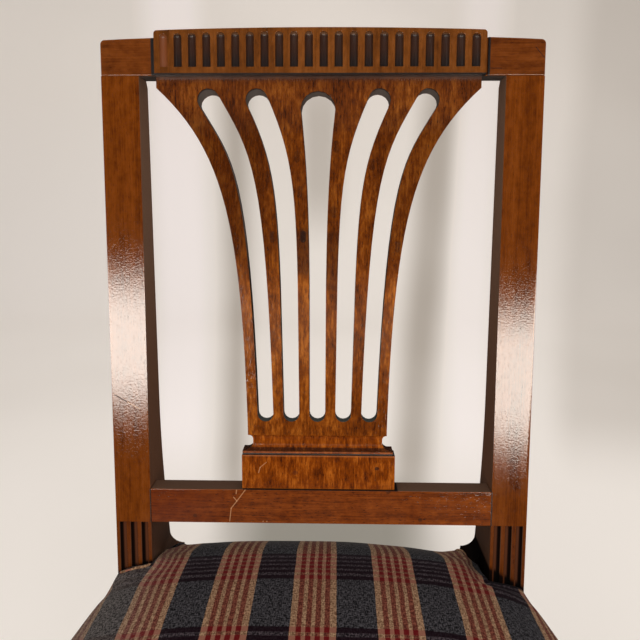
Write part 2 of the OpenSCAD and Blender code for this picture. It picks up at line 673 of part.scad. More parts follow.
// The room over a head is cut away with it, and the screw itself has a driver's slot
module screw_with_slot(gap) {
  if (gap > 0) {
    wood_screw(gap);
    translate([0, 0, -block_l]) cylinder(r = screw_d + gap, h = block_l);
  } else {
    difference() {
      wood_screw(0);
      block([-screw_d - eps, -0.5, -eps], [screw_d + eps, 0.5, 1]);
    }
  }
}
module corner_block_screws() color(steel) both_sides() corner_screws(0);

// Webbing: strips woven over and under, tacked on top of the rails
// Room between the outer strips and the posts, and between them and the legs
strip_room_x = 8;
strip_room_y = 12;
strip_pitch_x = 2 * (ear_x - strip_w / 2 - strip_room_x) / (strip_count - 1);
strip_pitch_y = (-leg_rear + shoulder_y - strip_w - 2 * strip_room_y) / (strip_count - 1);
function strip_x(i) = (i - (strip_count - 1) / 2) * strip_pitch_x;
function strip_y(j) = (leg_rear + shoulder_y) / 2 + (j - (strip_count - 1) / 2) * strip_pitch_y;
weave_rise = strip_t + fit_gap;
strip_edge = 6;
weave_run = strip_w / 2 + 2;
// Underside of a strip: along its length at, the places of the strips it crosses, and which it goes over
function weave(low, high, crossings, over) = concat([[low, 0]],
  [for (k = [0:len(crossings) - 1]) let (z = weave_rise * ((k + over) % 2))
    each [[crossings[k] - weave_run, z], [crossings[k] + weave_run, z]]], [[high, 0]]);
function thickened(path) = concat(path, [for (p = reversed(path)) p + [0, strip_t]]);
places_x = [for (i = [0:strip_count - 1]) strip_x(i)];
places_y = [for (j = [0:strip_count - 1]) strip_y(j)];
strip_front = -seat_d + strip_edge;
strip_back = back_rail_reach - strip_edge;
module webbing_lengthwise() color(web_colour) difference() {
  at_seat() translate([0, 0, rail_top]) for (i = [0:strip_count - 1])
    slice(strip_x(i) - strip_w / 2, strip_w) polygon(thickened(weave(strip_front, strip_back, places_y, i)));
  both_sides() tack_shanks(fit_gap);
}
function strip_reach(j) = rail_x(strip_y(j) + strip_w / 2) - strip_edge;
module webbing_crosswise() color(web_colour) difference() {
  at_seat() translate([0, 0, rail_top]) for (j = [0:strip_count - 1])
    plate(strip_y(j) - strip_w / 2, strip_w)
      polygon(thickened(weave(-strip_reach(j), strip_reach(j), places_x, j + 1)));
  both_sides() tack_shanks(fit_gap);
}
// Three tacks hold each end of a strip
tack_inset = 6;
tack_w = 1.3;
head_t = 0.5;
tacks_across = [-strip_w / 3, 0, strip_w / 3];
function web_tacks() = concat(
  [for (i = [ceil((strip_count - 1) / 2):strip_count - 1], a = tacks_across)
    each [[strip_x(i) + a, strip_front + tack_inset], [strip_x(i) + a, strip_back - tack_inset]]],
  [for (j = [0:strip_count - 1], a = tacks_across) [strip_reach(j) - tack_inset, strip_y(j) + a]]);
module tack_shanks(gap) at_seat() for (p = web_tacks())
  block([p[0] - tack_w / 2 - gap, p[1] - tack_w / 2 - gap, rail_top + strip_t - tack_l - gap],
    [p[0] + tack_w / 2 + gap, p[1] + tack_w / 2 + gap, rail_top + strip_t + gap]);
module webbing_tacks() color(steel) both_sides() {
  tack_shanks(0);
  at_seat() for (p = web_tacks())
    translate([p[0], p[1], rail_top + strip_t]) cylinder(d = tack_head_w, h = head_t, $fn = 24);
}

// Hessian over the webbing, up to the edges of the rails and round the posts
sheet_edge = 8;
function seat_plan(edge, gap) = let (half = [
    [front_w / 2 - edge, -seat_d + edge], [front_w / 2 - edge, leg_rear],
    [rail_x(shoulder_y) - edge, shoulder_y - gap], [inner_x - gap, shoulder_y - gap],
    [inner_x - gap, back_rail_front - gap], [ear_x - gap, back_rail_front - gap],
    [ear_x - gap, back_rail_reach - edge]]) concat(half, flipped(half));
hessian_z = rail_top + weave_rise + strip_t + fit_gap;
module hessian() color("#b39b6d") at_seat() translate([0, 0, hessian_z]) linear_extrude(sheet_t)
  polygon(seat_plan(sheet_edge, soft_gap));

// Dust cover under the rails, cut round the legs and the posts
dust_top = rail_low;
module dust_cover() color("#2b2a2c") difference() {
  at_seat() translate([0, 0, dust_top - sheet_t]) linear_extrude(sheet_t)
    polygon(seat_plan(sheet_edge, soft_gap));
  both_sides() at_seat() block([front_w / 2 - leg_w - soft_gap, -seat_d - eps, dust_top - 2 * sheet_t],
    [front_w / 2 + eps, leg_rear + soft_gap, dust_top + sheet_t]);
  both_sides() dust_shanks(fit_gap);
}
dust_tacks_side = 6;
dust_tacks_half = 3;
dust_tack_inset = 13;
dust_tack_l = tack_l * 0.75;
function spread(a, b, n) = [for (i = [0:n - 1]) a + (b - a) * (i + 0.5) / n];
function dust_tacks() = concat(
  spread([0, -seat_d + dust_tack_inset], [bow_half, -seat_d + dust_tack_inset], dust_tacks_half),
  spread([0, back_rail_reach - dust_tack_inset], [ear_x, back_rail_reach - dust_tack_inset], dust_tacks_half),
  spread([rail_x(shoulder_y) - dust_tack_inset, shoulder_y],
    [rail_x(leg_rear) - dust_tack_inset, leg_rear], dust_tacks_side));
module dust_shanks(gap) at_seat() for (p = dust_tacks())
  block([p[0] - tack_w / 2 - gap, p[1] - tack_w / 2 - gap, dust_top - sheet_t - gap],
    [p[0] + tack_w / 2 + gap, p[1] + tack_w / 2 + gap, dust_top - sheet_t + dust_tack_l + gap]);
module dust_cover_tacks() color(steel) both_sides() {
  dust_shanks(0);
  at_seat() for (p = dust_tacks())
    translate([p[0], p[1], dust_top - sheet_t - head_t]) cylinder(d = tack_head_w, h = head_t, $fn = 24);
}

// Crowned stuffing and cover. A closed skin is a stack of rings from a top pole to a bottom pole.
module skin(rings, top, bottom) {
  n = len(rings[0]);
  count = len(rings);
  last = 1 + n * count;
  function at(r, i) = 1 + r * n + i % n;
  polyhedron(
    points = concat([top], [for (ring = rings) each ring], [bottom]),
    faces = concat(
      [for (i = [0:n - 1]) [0, at(0, i + 1), at(0, i)]],
      [for (r = [0:count - 2], i = [0:n - 1]) each [[at(r, i), at(r, i + 1), at(r + 1, i + 1)],
        [at(r, i), at(r + 1, i + 1), at(r + 1, i)]]],
      [for (i = [0:n - 1]) [last, at(count - 1, i), at(count - 1, i + 1)]]),
    convexity = 8);
}
// The cover is tucked down against the posts only as far as the hessian
notch_gap = soft_gap;
notch_step = 0.6;
notch_low = hessian_z + sheet_t + soft_gap;
function cover_side(y) = y < leg_rear ? cover_x : min(cover_x, rail_x(y) + cover_out);
function side_share(y) = (shoulder_y - y) / (shoulder_y - leg_rear);
// Right half of the cover's outline, from the middle of the front to the middle of the back.
// The points at the notch round a post have a third value, 1.
front_points = 4;
corner_points = 3;
side_points = 6;
back_points = 4;
notch_y = shoulder_y - notch_gap;
notch_x = inner_x - notch_gap;
ear_y = back_rail_front - notch_gap;
ear_side = ear_x - notch_gap;
function half_outline(bulge) = concat(
  [for (i = [0:front_points]) let (x = (cover_x - corner_r) * i / front_points)
    [x, -seat_d - cover_out - bow(x) - bulge * front_bulge * (1 - pow(x / (cover_x - corner_r), 4))]],
  [for (i = [1:corner_points]) [cover_x - corner_r + corner_r * sin(90 * i / corner_points),
    -seat_d - cover_out + corner_r - corner_r * cos(90 * i / corner_points)]],
  [for (i = [0:side_points]) let (y = leg_rear + (notch_y - leg_rear) * i / side_points)
    [cover_side(y) + bulge * side_bulge * sin(180 * side_share(y)), y]],
  [[back_w / 2 - notch_step, notch_y, 1], [back_w / 2 - post_w / 2, notch_y, 1], [notch_x, notch_y, 1],
    [notch_x, back_rail_front / 2, 1], [notch_x, ear_y, 1], [ear_x + cove_r / 2, ear_y, 1],
    [ear_side, ear_y, 1], [ear_side, (ear_y + cover_back) / 2, 1], [ear_side, cover_back - notch_step, 1]],
  [for (i = [0:back_points]) [ear_side * (1 - i / back_points), cover_back]]);
function outline(bulge) = let (half = half_outline(bulge), n = len(half))
  concat(half, [for (i = [n - 2:-1:1]) [-half[i][0], half[i][1], half[i][2]]]);
crown_mid = (cover_back - front_reach) / 2;
function fall(t) = pow(max(0, 1 - pow(min(abs(t), 1), crown_power)), 1 / crown_power);
function depth_share(x, y) = y > crown_mid ? (y - crown_mid) / (cover_back - crown_mid)
  : (crown_mid - y) / (crown_mid + seat_d + cover_out + bow(x)
    + front_bulge * (1 - pow(min(abs(x) / (cover_x - corner_r), 1), 4)));
function side_reach(y) = cover_side(y) + (y > shoulder_y ? 0 : side_bulge * max(0, sin(180 * side_share(y))));
function crown(x, y) = rail_top + crown_h * fall(x / side_reach(y)) * fall(depth_share(x, y));
function shrunk(ring, s) = [for (p = ring) [p[0] * s, crown_mid + (p[1] - crown_mid) * s]];
function lifted(ring, drop) = [for (p = ring) [p[0], p[1], crown(p[0], p[1]) - drop]];
function level(ring, z) = [for (p = ring) [p[0], p[1], z]];
// A point moved inwards along its ray by a distance
function drawn_in(p, d) = let (r = norm([p[0], p[1] - crown_mid]))
  [p[0] * (1 - d / r), crown_mid + (p[1] - crown_mid) * (1 - d / r)];
ring_shares = [0.3, 0.52, 0.7, 0.82, 0.9, 0.95, 0.98];
cover_wall = cover_t + 0.5;
// Share of the bulge and height of each ring down the sides
wall_steps = [[1, rail_top - 14], [0.6, (rail_top + rail_low) / 2], [0, rail_low]];
// Ring k of the wall, moved in and starting lower for the inner face
function wall_ring(k, inward, drop) = let (full = outline(1), ring = outline(wall_steps[k][0]))
  [for (i = [0:len(full) - 1]) let (p = drawn_in(ring[i], inward), top = crown(full[i][0], full[i][1]) - drop)
    [p[0], p[1], full[i][2] == 1 ? top + (notch_low - top) * (k + 1) / len(wall_steps) : wall_steps[k][1]]];
module seat_cover() color("#6d6468") at_seat() {
  full = outline(1);
  skin(concat(
      [for (s = ring_shares) lifted(shrunk(full, s), 0)], [lifted(full, 0)],
      [for (k = [0:2]) wall_ring(k, 0, 0)],
      [for (k = [2:-1:0]) wall_ring(k, cover_wall, cover_t)],
      [[for (q = full) let (p = drawn_in(q, cover_wall)) [p[0], p[1], crown(q[0], q[1]) - cover_t]]],
      [for (s = reversed(ring_shares)) lifted(shrunk(full, s), cover_t)]),
    [0, crown_mid, crown(0, crown_mid)], [0, crown_mid, crown(0, crown_mid) - cover_t]);
}
stuffing_low = hessian_z + sheet_t + fit_gap;
module seat_stuffing() color("#4a3b2e") at_seat() {
  full = outline(1);
  drop = cover_t + soft_gap;
  edge = shrunk(full, ring_shares[len(ring_shares) - 1]);
  skin(concat([for (s = ring_shares) lifted(shrunk(full, s), drop)], [level(edge, stuffing_low)]),
    [0, crown_mid, crown(0, crown_mid) - drop], [0, crown_mid, stuffing_low]);
}

back_post_left();
back_post_right();
crest_rail();
crest_tablet();
splat();
shoe_moulding();
shoe_block();
lower_back_rail();
seat_rail_front();
seat_rail_back();
seat_rail_left();
seat_rail_right();
front_leg_left();
front_leg_right();
side_stretcher_left();
side_stretcher_right();
cross_stretcher();
back_stretcher();
corner_block_front_left();
corner_block_front_right();
corner_block_back_left();
corner_block_back_right();
corner_block_screws();
webbing_lengthwise();
webbing_crosswise();
webbing_tacks();
hessian();
seat_stuffing();
seat_cover();
dust_cover();
dust_cover_tacks();
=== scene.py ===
import math

import bmesh
import bpy
import numpy as np
from mathutils import Matrix, Vector


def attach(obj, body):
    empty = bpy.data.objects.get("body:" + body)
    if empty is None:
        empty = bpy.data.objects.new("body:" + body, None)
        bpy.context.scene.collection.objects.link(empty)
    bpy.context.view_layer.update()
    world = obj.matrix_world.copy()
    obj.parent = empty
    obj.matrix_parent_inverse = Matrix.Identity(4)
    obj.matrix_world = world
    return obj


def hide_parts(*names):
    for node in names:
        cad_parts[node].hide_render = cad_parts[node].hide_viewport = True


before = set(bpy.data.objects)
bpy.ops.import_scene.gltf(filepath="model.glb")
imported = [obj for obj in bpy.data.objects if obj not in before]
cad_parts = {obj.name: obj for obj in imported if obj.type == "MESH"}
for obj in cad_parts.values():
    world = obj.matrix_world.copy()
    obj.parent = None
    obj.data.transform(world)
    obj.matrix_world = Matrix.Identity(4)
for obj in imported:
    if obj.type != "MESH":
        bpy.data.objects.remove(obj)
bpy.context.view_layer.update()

print("Frame loaded:", len(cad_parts), "nodes")

# The seat line is where the cover meets the front of the back posts. The back leans from it.
seatLine = (0.0, 0.1288, 0.45)
lean = math.radians(9.5)
leanSin, leanCos = math.sin(lean), math.cos(lean)


def linked(thing):
    # The object, now in the scene
    bpy.context.scene.collection.objects.link(thing)
    return thing


# Camera
camera = {"place": (0.01573, -0.51685, 0.92827), "yaw": -1.367, "pitch": -17.13, "roll": -0.062, "lens": 42.19}


def placeCamera(values):
    # Ahead from yaw and pitch, right from the level line and the roll, and up as their cross product
    yaw, pitch, roll = (math.radians(values[k]) for k in ("yaw", "pitch", "roll"))
    ahead = Vector((math.sin(yaw) * math.cos(pitch), math.cos(yaw) * math.cos(pitch), math.sin(pitch)))
    right = Matrix.Rotation(-roll, 3, ahead) @ Vector((math.cos(yaw), -math.sin(yaw), 0))
    turned = Matrix((right, right.cross(ahead), -ahead)).transposed().to_4x4()
    data = bpy.data.cameras.new("photoView")
    data.lens, data.sensor_width, data.clip_start = values["lens"], 36, 0.02
    view = bpy.data.objects.new("photoView", data)
    view.matrix_world = Matrix.Translation(values["place"]) @ turned
    bpy.context.scene.camera = linked(view)


placeCamera(camera)


# Shader maths
def paint(colour):
    # Screen values from 0 to 255 as a shader's linear colour; a wire stays as it is
    if isinstance(colour, Wire):
        return colour
    screen = np.array(colour) / 255
    linear = np.where(screen <= 0.04045, screen / 12.92, ((screen + 0.055) / 1.055) ** 2.4)
    return (*linear.tolist(), 1.0)


def join(node, **inputs):
    # Links or sets the node's sockets; i0, i1 and so on name one by its number
    for name, value in inputs.items():
        socket = node.inputs[int(name[1:]) if name[1:].isdigit() else name.replace("_", " ")]
        if isinstance(value, Wire):
            node.id_data.links.new(value.socket, socket)
        else:
            socket.default_value = value


class Wire:
    # One output of a material's node. Sums and products of wires add Math nodes.
    def __init__(self, tree, socket):
        self.tree, self.socket = tree, socket

    def node(self, kind, settings=None, out=0, **inputs):
        made = self.tree.nodes.new("ShaderNode" + kind)
        for name, value in (settings or {}).items():
            if name == "stops":
                for i, (place, colour) in enumerate(value):
                    stop = made.color_ramp.elements[i] if i < 2 else made.color_ramp.elements.new(place)
                    stop.position, stop.color = place, paint(colour)
            else:
                setattr(made, name, value)
        join(made, **inputs)
        return Wire(self.tree, made.outputs[out])

    def maths(self, operation, other=0.0):
        return self.node("Math", {"operation": operation}, i0=self, i1=other)

    def __add__(self, other): return self.maths("ADD", other)
    def __sub__(self, other): return self.maths("SUBTRACT", other)
    def __mul__(self, other): return self.maths("MULTIPLY", other)
    def __truediv__(self, other): return self.maths("DIVIDE", other)
    def __abs__(self): return self.maths("ABSOLUTE")
    def __rsub__(self, other): return self.node("Math", {"operation": "SUBTRACT"}, i0=other, i1=self)
    __radd__, __rmul__ = __add__, __mul__

    def rise(self, low, high):
        # 0 at low, 1 at high and smooth between; from a larger low to a smaller high it falls
        return self.node("MapRange", {"interpolation_type": "SMOOTHSTEP"}, i0=self, i1=low, i2=high)

    def within(self, low, high, soft):
        # 1 between low and high, with soft edges
        return self.rise(low - soft, low + soft) * self.rise(high + soft, high - soft)

    def wave(self, length):
        # A sine with this wavelength
        return (self * (2 * math.pi / length)).maths("SINE")

    def blend(self, low, high):
        # The colour low where this is 0 and high where it is 1
        return self.node("Mix", {"data_type": "RGBA"}, out=2, i0=self, i6=paint(low), i7=paint(high))

    def ramp(self, *stops):
        return self.node("ValToRGB", {"stops": stops}, Fac=self)

    def axes(self):
        split = self.node("SeparateXYZ", Vector=self).socket.node
        return [Wire(self.tree, split.outputs[i]) for i in range(3)]

    def moved(self, kind="POINT", **inputs):
        return self.node("Mapping", {"vector_type": kind}, Vector=self, **inputs)

    def noise(self, stretch, detail, roughness=0.55, shift=(0, 0, 0)):
        # Noise whose cells are 1 / stretch metres along each axis
        spread = self.node("VectorMath", {"operation": "MULTIPLY_ADD"}, i0=self, i1=stretch, i2=shift)
        return spread.node("TexNoise", Vector=spread, Scale=1.0, Detail=detail, Roughness=roughness)


def newMaterial(name):
    # A material with its shader, and a first wire: the Object coordinates
    material = bpy.data.materials.new(name)
    material.use_nodes = True
    tree = material.node_tree
    tree.nodes.clear()
    shader, target, coordinates = (
        tree.nodes.new("ShaderNode" + kind) for kind in ("BsdfPrincipled", "OutputMaterial", "TexCoord"))
    tree.links.new(shader.outputs[0], target.inputs[0])
    return material, Wire(tree, coordinates.outputs["Object"])


def feed(material, colour, roughness, *bump, matte=None, **fixed):
    # Joins colour, roughness and bump (height, strength, distance). Where matte is 1 the surface is diffuse.
    tree = material.node_tree
    shader = tree.nodes["Principled BSDF"]
    join(shader, Base_Color=colour, Roughness=roughness, **fixed)
    if bump:
        height, strength, distance = bump
        join(shader, Normal=height.node("Bump", Height=height, Strength=strength, Distance=distance))
    if matte:
        mixed = matte.node("MixShader", Fac=matte, i1=Wire(tree, shader.outputs[0]),
                           i2=matte.node("BsdfDiffuse", Color=colour))
        join(tree.nodes["Material Output"], Surface=mixed)
    return material


# Levels along the lean, above the seat line, and lengths across, as the CAD has them
back = {
    "railLow": 0.0635, "railTop": 0.0985, "shoeTop": 0.1335, "crestLow": 0.4966, "inner": 0.1697,
    "postMiddle": 0.18735, "flutePitch": 0.0109, "tabletHalf": 0.152, "tabletFront": -0.006, "splatBack": 0.0195,
}

# Mahogany
wood = {
    # Layers of noise: cells to a metre along each axis, detail and roughness
    "band": ((60, 60, 2.4), 4, 0.6), "fibre": ((650, 650, 22), 3, 0.6), "mottle": ((140, 140, 90), 3, 0.6),
    "pore": ((1000, 1000, 170), 2, 0.5), "flame": ((400, 400, 85), 5, 0.75), "broadFlame": ((110, 110, 45), 2, 0.5),
    "ripple": ((420, 420, 760), 2, 0.5), "speck": ((800, 800, 520), 2, 0.6),
    "bumpStrength": 0.22, "bumpDistance": 0.0004, "polish": 0.045,
}
# A near-black for dirt and dark joints, and for painted shade in crevices
sootAndShade = (20, 16, 18)
slotWall = (108, 97, 91)
scratchPale = (205, 150, 104)


def marks(u, v, width, *lines):
    # 1 on each line from a start to an end: the distance to its nearest place against half the width
    total, reach = 0, (width / 2) ** 2
    for startU, startV, endU, endV in lines:
        du, dv = endU - startU, endV - startV
        along = ((u - startU) * du + (v - startV) * dv) * (1 / (du * du + dv * dv))
        along = along.node("Clamp", i0=along)
        offU, offV = u - startU - along * du, v - startV - along * dv
        total = total + (offU * offU + offV * offV).rise(reach * 1.8, reach * 0.5)
    return total


def mahogany(name, dark, middle, light, shift, stainsAndLight=None, turn=(0, 0, 0), figure=0.0, pores=0.5, arris=0.5,
             spread=(0.36, 0.66), leaning=True):
    # Wood from stretched noise: wide bands, fine fibres, short dark pores and, with figure, flame across the grain.
    # turn brings the grain onto z. On the leaning back u is across, w behind its front and v along its lean. The
    # stain functions give masks with the colour laid over the wood, among them painted shade and painted highlights,
    # and how dull it is; 1 is matte. Eased arrises are painted paler, for wear and as a painted highlight.
    material, place = newMaterial(name)
    onBack = place.moved("TEXTURE", Location=seatLine, Rotation=(-lean, 0, 0)) if leaning else place
    grain = onBack.moved(Rotation=turn)
    layer = lambda kind: grain.noise(*wood[kind], shift)
    fibre, speck, pore = layer("fibre"), layer("speck"), layer("pore").rise(0.56, 0.72)
    tone = layer("band") * 0.4 + fibre * 0.3 + layer("mottle") * 0.3
    if figure:
        tone = tone * (1 - figure) + (layer("flame") * 0.7 + layer("broadFlame") * 0.3) * figure
    colour = tone.ramp((spread[0], dark), (0.5, middle), (spread[1], light))
    colour = (pore * pores).blend(colour, dark)
    # Eased arrises painted paler: wear, and a painted highlight along the edges
    wearAndSheen = place.node("Attribute", {"attribute_name": "arris"}, out=2)
    colour = (wearAndSheen * arris).blend(colour, light)
    gloss = wood["polish"] + speck.rise(0.48, 0.7) * 0.09 + pore * 0.06
    matte = None
    if stainsAndLight:
        normal = place.node("NewGeometry", out="True Normal")
        facing = normal.node("VectorMath", {"operation": "DOT_PRODUCT"}, out=1, i0=normal, i1=(0, -leanCos, leanSin))
        u, w, v = onBack.axes()
        for mask, stain, dull in stainsAndLight(u=u, w=w, v=v, facing=facing, front=facing.rise(0.5, 0.8),
                                        normalX=normal.axes()[0]):
            colour = mask.blend(colour, stain)
            if dull == 1:
                matte = matte.maths("MAXIMUM", mask) if matte else mask
            elif dull:
                gloss = gloss + mask * dull
    height = layer("ripple") * 0.55 + speck * 0.6 + fibre * 0.2 - pore * 0.15
    return feed(material, colour, gloss, height, wood["bumpStrength"], wood["bumpDistance"], matte=matte, IOR=1.55,
                Specular_IOR_Level=0.9)


def stileStainsAndShade(u, w, v, facing, front, normalX):
    # Inner faces paler and greyer, darker towards the seat; flutes dark down their outer sides; and feet black up to
    # lines that slant down outwards, but not on their outer sides: dirt and painted shade where the cloth meets the
    # posts
    inner, outer = (normalX * u).rise(-0.05, -0.12), (normalX * u).rise(0.06, 0.12)
    foot = v.within(-0.035, back["railLow"] + 0.0005, 0.0005)
    fromMiddle, pitch = abs(u) - back["postMiddle"], back["flutePitch"]
    inFlute = (fromMiddle + pitch * 1.5).maths("FLOORED_MODULO", pitch)
    fluteWood = inFlute.rise(0.0046, 0.0066).blend((84, 48, 31), (18, 10, 8))
    fluted = w.rise(0.0002, 0.0011) * w.rise(0.0036, 0.0031) * abs(fromMiddle).rise(0.0164, 0.0158) * foot
    joint = (abs(u) - back["inner"]).within(-0.0003, 0.0007, 0.0003) \
        * v.within(back["railLow"], back["railTop"], 0.0005) * front
    # Black feet where the cloth meets the posts: dirt and painted shade of the crevice
    black = (v + u * 0.56).rise(0.118, 0.112) * foot * u.rise(0.1, 0.12) * facing.rise(-0.3, 0.0) \
        + (v - u * 0.36).rise(0.0865, 0.0825) * foot * u.rise(-0.1, -0.12) * facing.rise(0.0, 0.3)
    return [
        (inner, (130, 95, 73), 0.35), (inner * v.rise(0.42, 0.12), (114, 73, 48), 0),
        (inner * v.rise(0.09, 0.0), (84, 57, 41), 0), (foot * facing.rise(0.3, 0.6) * 0.3, (70, 32, 12), 0.05),
        (fluted, fluteWood, 1), (black * (0.97 - outer * 0.97), (9, 9, 9), 1), (joint, sootAndShade, 0.2),
        (marks(u, v, 0.0008, (-0.2024, 0.1937, -0.19, 0.1868)) * 0.8, (50, 24, 12), 0.6),
        (marks(u, v, 0.0008, (-0.19, 0.1868, -0.1778, 0.1799)) * 0.6, scratchPale, 0.1)]


def crestStainsAndShade(u, w, v, facing, front, **others):
    # Dirt under the crest, dark seams at the tablet's ends, partly dirt and partly painted shade beside the proud
    # tablet, and two cracks
    under = (v - back["crestLow"]).rise(0.0003, 0.0001) * facing.rise(0.6, 0.3)
    # Dark seams beside the tablet's proud ends: dirt and painted shade
    seam = (abs(u + 0.0017) - back["tabletHalf"]).within(-0.001, 0.0042, 0.0004) * front * w.rise(0.001, 0.0005)
    cracks = marks(u, v, 0.0007, (0.1957, 0.5217, 0.2042, 0.512)) \
        + marks(u, v, 0.0006, (0.1545, 0.5033, 0.1654, 0.5032))
    return [(under, (86, 76, 71), 0.35), (seam, sootAndShade, 0.3), (cracks * 0.6, sootAndShade, 0.2)]


def tabletStainsAndLight(u, w, v, **others):
    # Dark flutes, the first one brown, with a painted highlight at their tips, and a dark line at the gap under the
    # tablet, painted shade with some dirt
    flute = (w - back["tabletFront"]).rise(0.0002, 0.0012) * v.within(0.503, 0.536, 0.0004) \
        * abs(u).rise(0.1505, 0.1495)
    # Painted shadow line along the tablet's lower edge, with some dirt in the seam
    gap = (v - back["crestLow"]).rise(0.0018, 0.0012)
    return [
        (flute * 0.9, (43, 24, 18), 0.35), (flute * v.rise(0.522, 0.505) * 0.7, (20, 20, 22), 0.1),
        (flute * u.rise(-0.138, -0.142) * 0.75, (132, 70, 30), 0),
        # Pale flute tips: a painted highlight
        (flute * v.within(0.5322, 0.535, 0.0006) * 0.3, (150, 100, 58), 0), (gap, sootAndShade, 0.3)]


def splatStainsAndShade(u, w, v, front, **others):
    # Grey slot walls, dark rims, the head darker under the crest as painted shade, a knot, and ribs darker above
    # their middle, most at the outer two
    wall = w.within(0.006, 0.019, 0.0005)
    foot = v.rise(0.19, 0.17) * wall
    rim = w.within(0.0052, 0.0074, 0.0006) * v.rise(0.44, 0.455)
    # Painted shade on the splat's top, under the crest's overhang
    head = (v - back["crestLow"]).rise(-0.006, 0) * front
    knot = marks(u, v, 0.003, (0.064, 0.401, 0.0735, 0.402)) \
        + marks(u, v, 0.0026, (0.0655, 0.3965, 0.07, 0.396))
    upper = v.rise(0.29, 0.35) * (1 - v.rise(0.44, 0.485) * 0.85) * front
    darker = upper * (0.36 + abs(u + 0.003).rise(0.04, 0.06) * 0.3 - u.rise(0.0, 0.05) * 0.14)
    small = ((-0.0202, 0.3881), (-0.0173, 0.3457), (0.0137, 0.43), (0.0122, 0.3694), (-0.023, 0.4207),
             (0.0417, 0.4483), (0.051, 0.4566), (0.0478, 0.4134), (0.0735, 0.3365), (-0.0505, 0.4021),
             (-0.047, 0.3455))
    patches = marks(u, v, 0.016, (-0.0157, 0.32, -0.016, 0.348)) * 1.2 \
        + marks(u, v, 0.016, (0.011, 0.305, 0.0112, 0.345)) \
        + marks(u, v, 0.005, *((a, b, a, b + 0.006) for a, b in small))
    return [
        (darker, (44, 14, 3), 0), (patches * front * 0.45, (40, 14, 5), 0.1), (wall, slotWall, 0.3),
        (wall * v.rise(0.36, 0.3) * (1 - foot), (44, 36, 31), 0), (foot, (74, 76, 72), 0),
        (rim * 0.85, sootAndShade, 0.2), (head * 0.6, (64, 32, 14), 0.4), (knot * front * 0.75, (44, 18, 8), 0.1)]


def shoeStainsAndHighlights(u, v, facing, front, **others):
    # Dirt on top and in the seams, dark scotia, painted highlights on the fillet and along the block's top edge, and
    # the block's knot, spot and scratch
    above = v - back["shoeTop"]
    face = above.rise(-0.001, -0.002) * front
    # The pale fillet and the pale top edge of the block are painted highlights
    fillet = above.within(0.0021, 0.0028, 0.0003) * facing.rise(0.4, 0.7)
    ends = abs(u + 0.003).rise(0.0745, 0.0755) * above.rise(0, 0.0005)
    edge = above.within(-0.0016, -0.0009, 0.0003) * facing.rise(0.3, 0.6)
    knot = marks(u, v, 0.003, (0.0554, 0.1205, 0.0566, 0.1205)) \
        + marks(u, v, 0.0012, (0.0552, 0.119, 0.0545, 0.108)) * 0.5
    spot = marks(u, v, 0.0042, (-0.0255, 0.1151, -0.0247, 0.1155))
    scratch = marks(u, v, 0.0007, (-0.0537, 0.1258, -0.06, 0.1205)) \
        + marks(u, v, 0.0009, (-0.06, 0.1205, -0.0616, 0.115))
    return [
        (facing.rise(0.5, 0.2) * 0.5, (58, 42, 34), 0.2),
        (above.within(0.0031, 0.007, 0.0008) * 0.8, (36, 15, 8), 0.1), (fillet * 0.6, (176, 108, 78), 0),
        (above.within(-0.0004, 0.0015, 0.0003) * 0.95, sootAndShade, 0.3), (ends * 0.85, sootAndShade, 0.3),
        (edge * 0.35, (196, 128, 84), 0), (knot * face * 0.8, (34, 14, 8), 0.1),
        (spot * face * 0.6, (82, 34, 14), 0.1), (scratch * face * 0.5, scratchPale, 0.2)]


def railStains(u, v, facing, front, **others):
    # Redder at the left, dirty above and below, dark at its ends and under the shoe, scratched and dented
    level, overTop = facing.rise(0.6, 0.35), v - back["railTop"]
    top = level * overTop.rise(-0.001, -0.0005)
    under = level * (v - back["railLow"]).rise(0.0008, 0.0003)
    ends = (abs(u) - back["inner"]).rise(-0.0008, -0.0002)
    shoe = abs(u).rise(0.0775, 0.0765) * overTop.rise(-0.0008, -0.0002)
    scratch = marks(
        u, v, 0.0008, (-0.0744, 0.0985, -0.0833, 0.0863), (-0.0833, 0.0863, -0.089, 0.0789),
        (-0.089, 0.0789, -0.0906, 0.0655), (-0.0833, 0.0985, -0.0839, 0.094), (-0.0865, 0.0905, -0.0835, 0.087),
        (-0.0572, 0.0652, -0.057, 0.0658), (-0.0534, 0.0652, -0.0532, 0.0658))
    dents = marks(u, v, 0.0036, (-0.1255, 0.0709, -0.1251, 0.0709), (0.0994, 0.0689, 0.0998, 0.0689),
                  (0.0672, 0.0976, 0.0676, 0.0976))
    return [
        (u.rise(-0.06, -0.15) * 0.4, (88, 34, 22), 0), (top, (92, 66, 50), 0.3), (under, (58, 42, 34), 0.3),
        (ends, sootAndShade, 0.2), (shoe, sootAndShade, 0.2), (scratch * front * 0.6, scratchPale, 0.2),
        (dents * front * 0.6, (48, 26, 14), 0.1)]


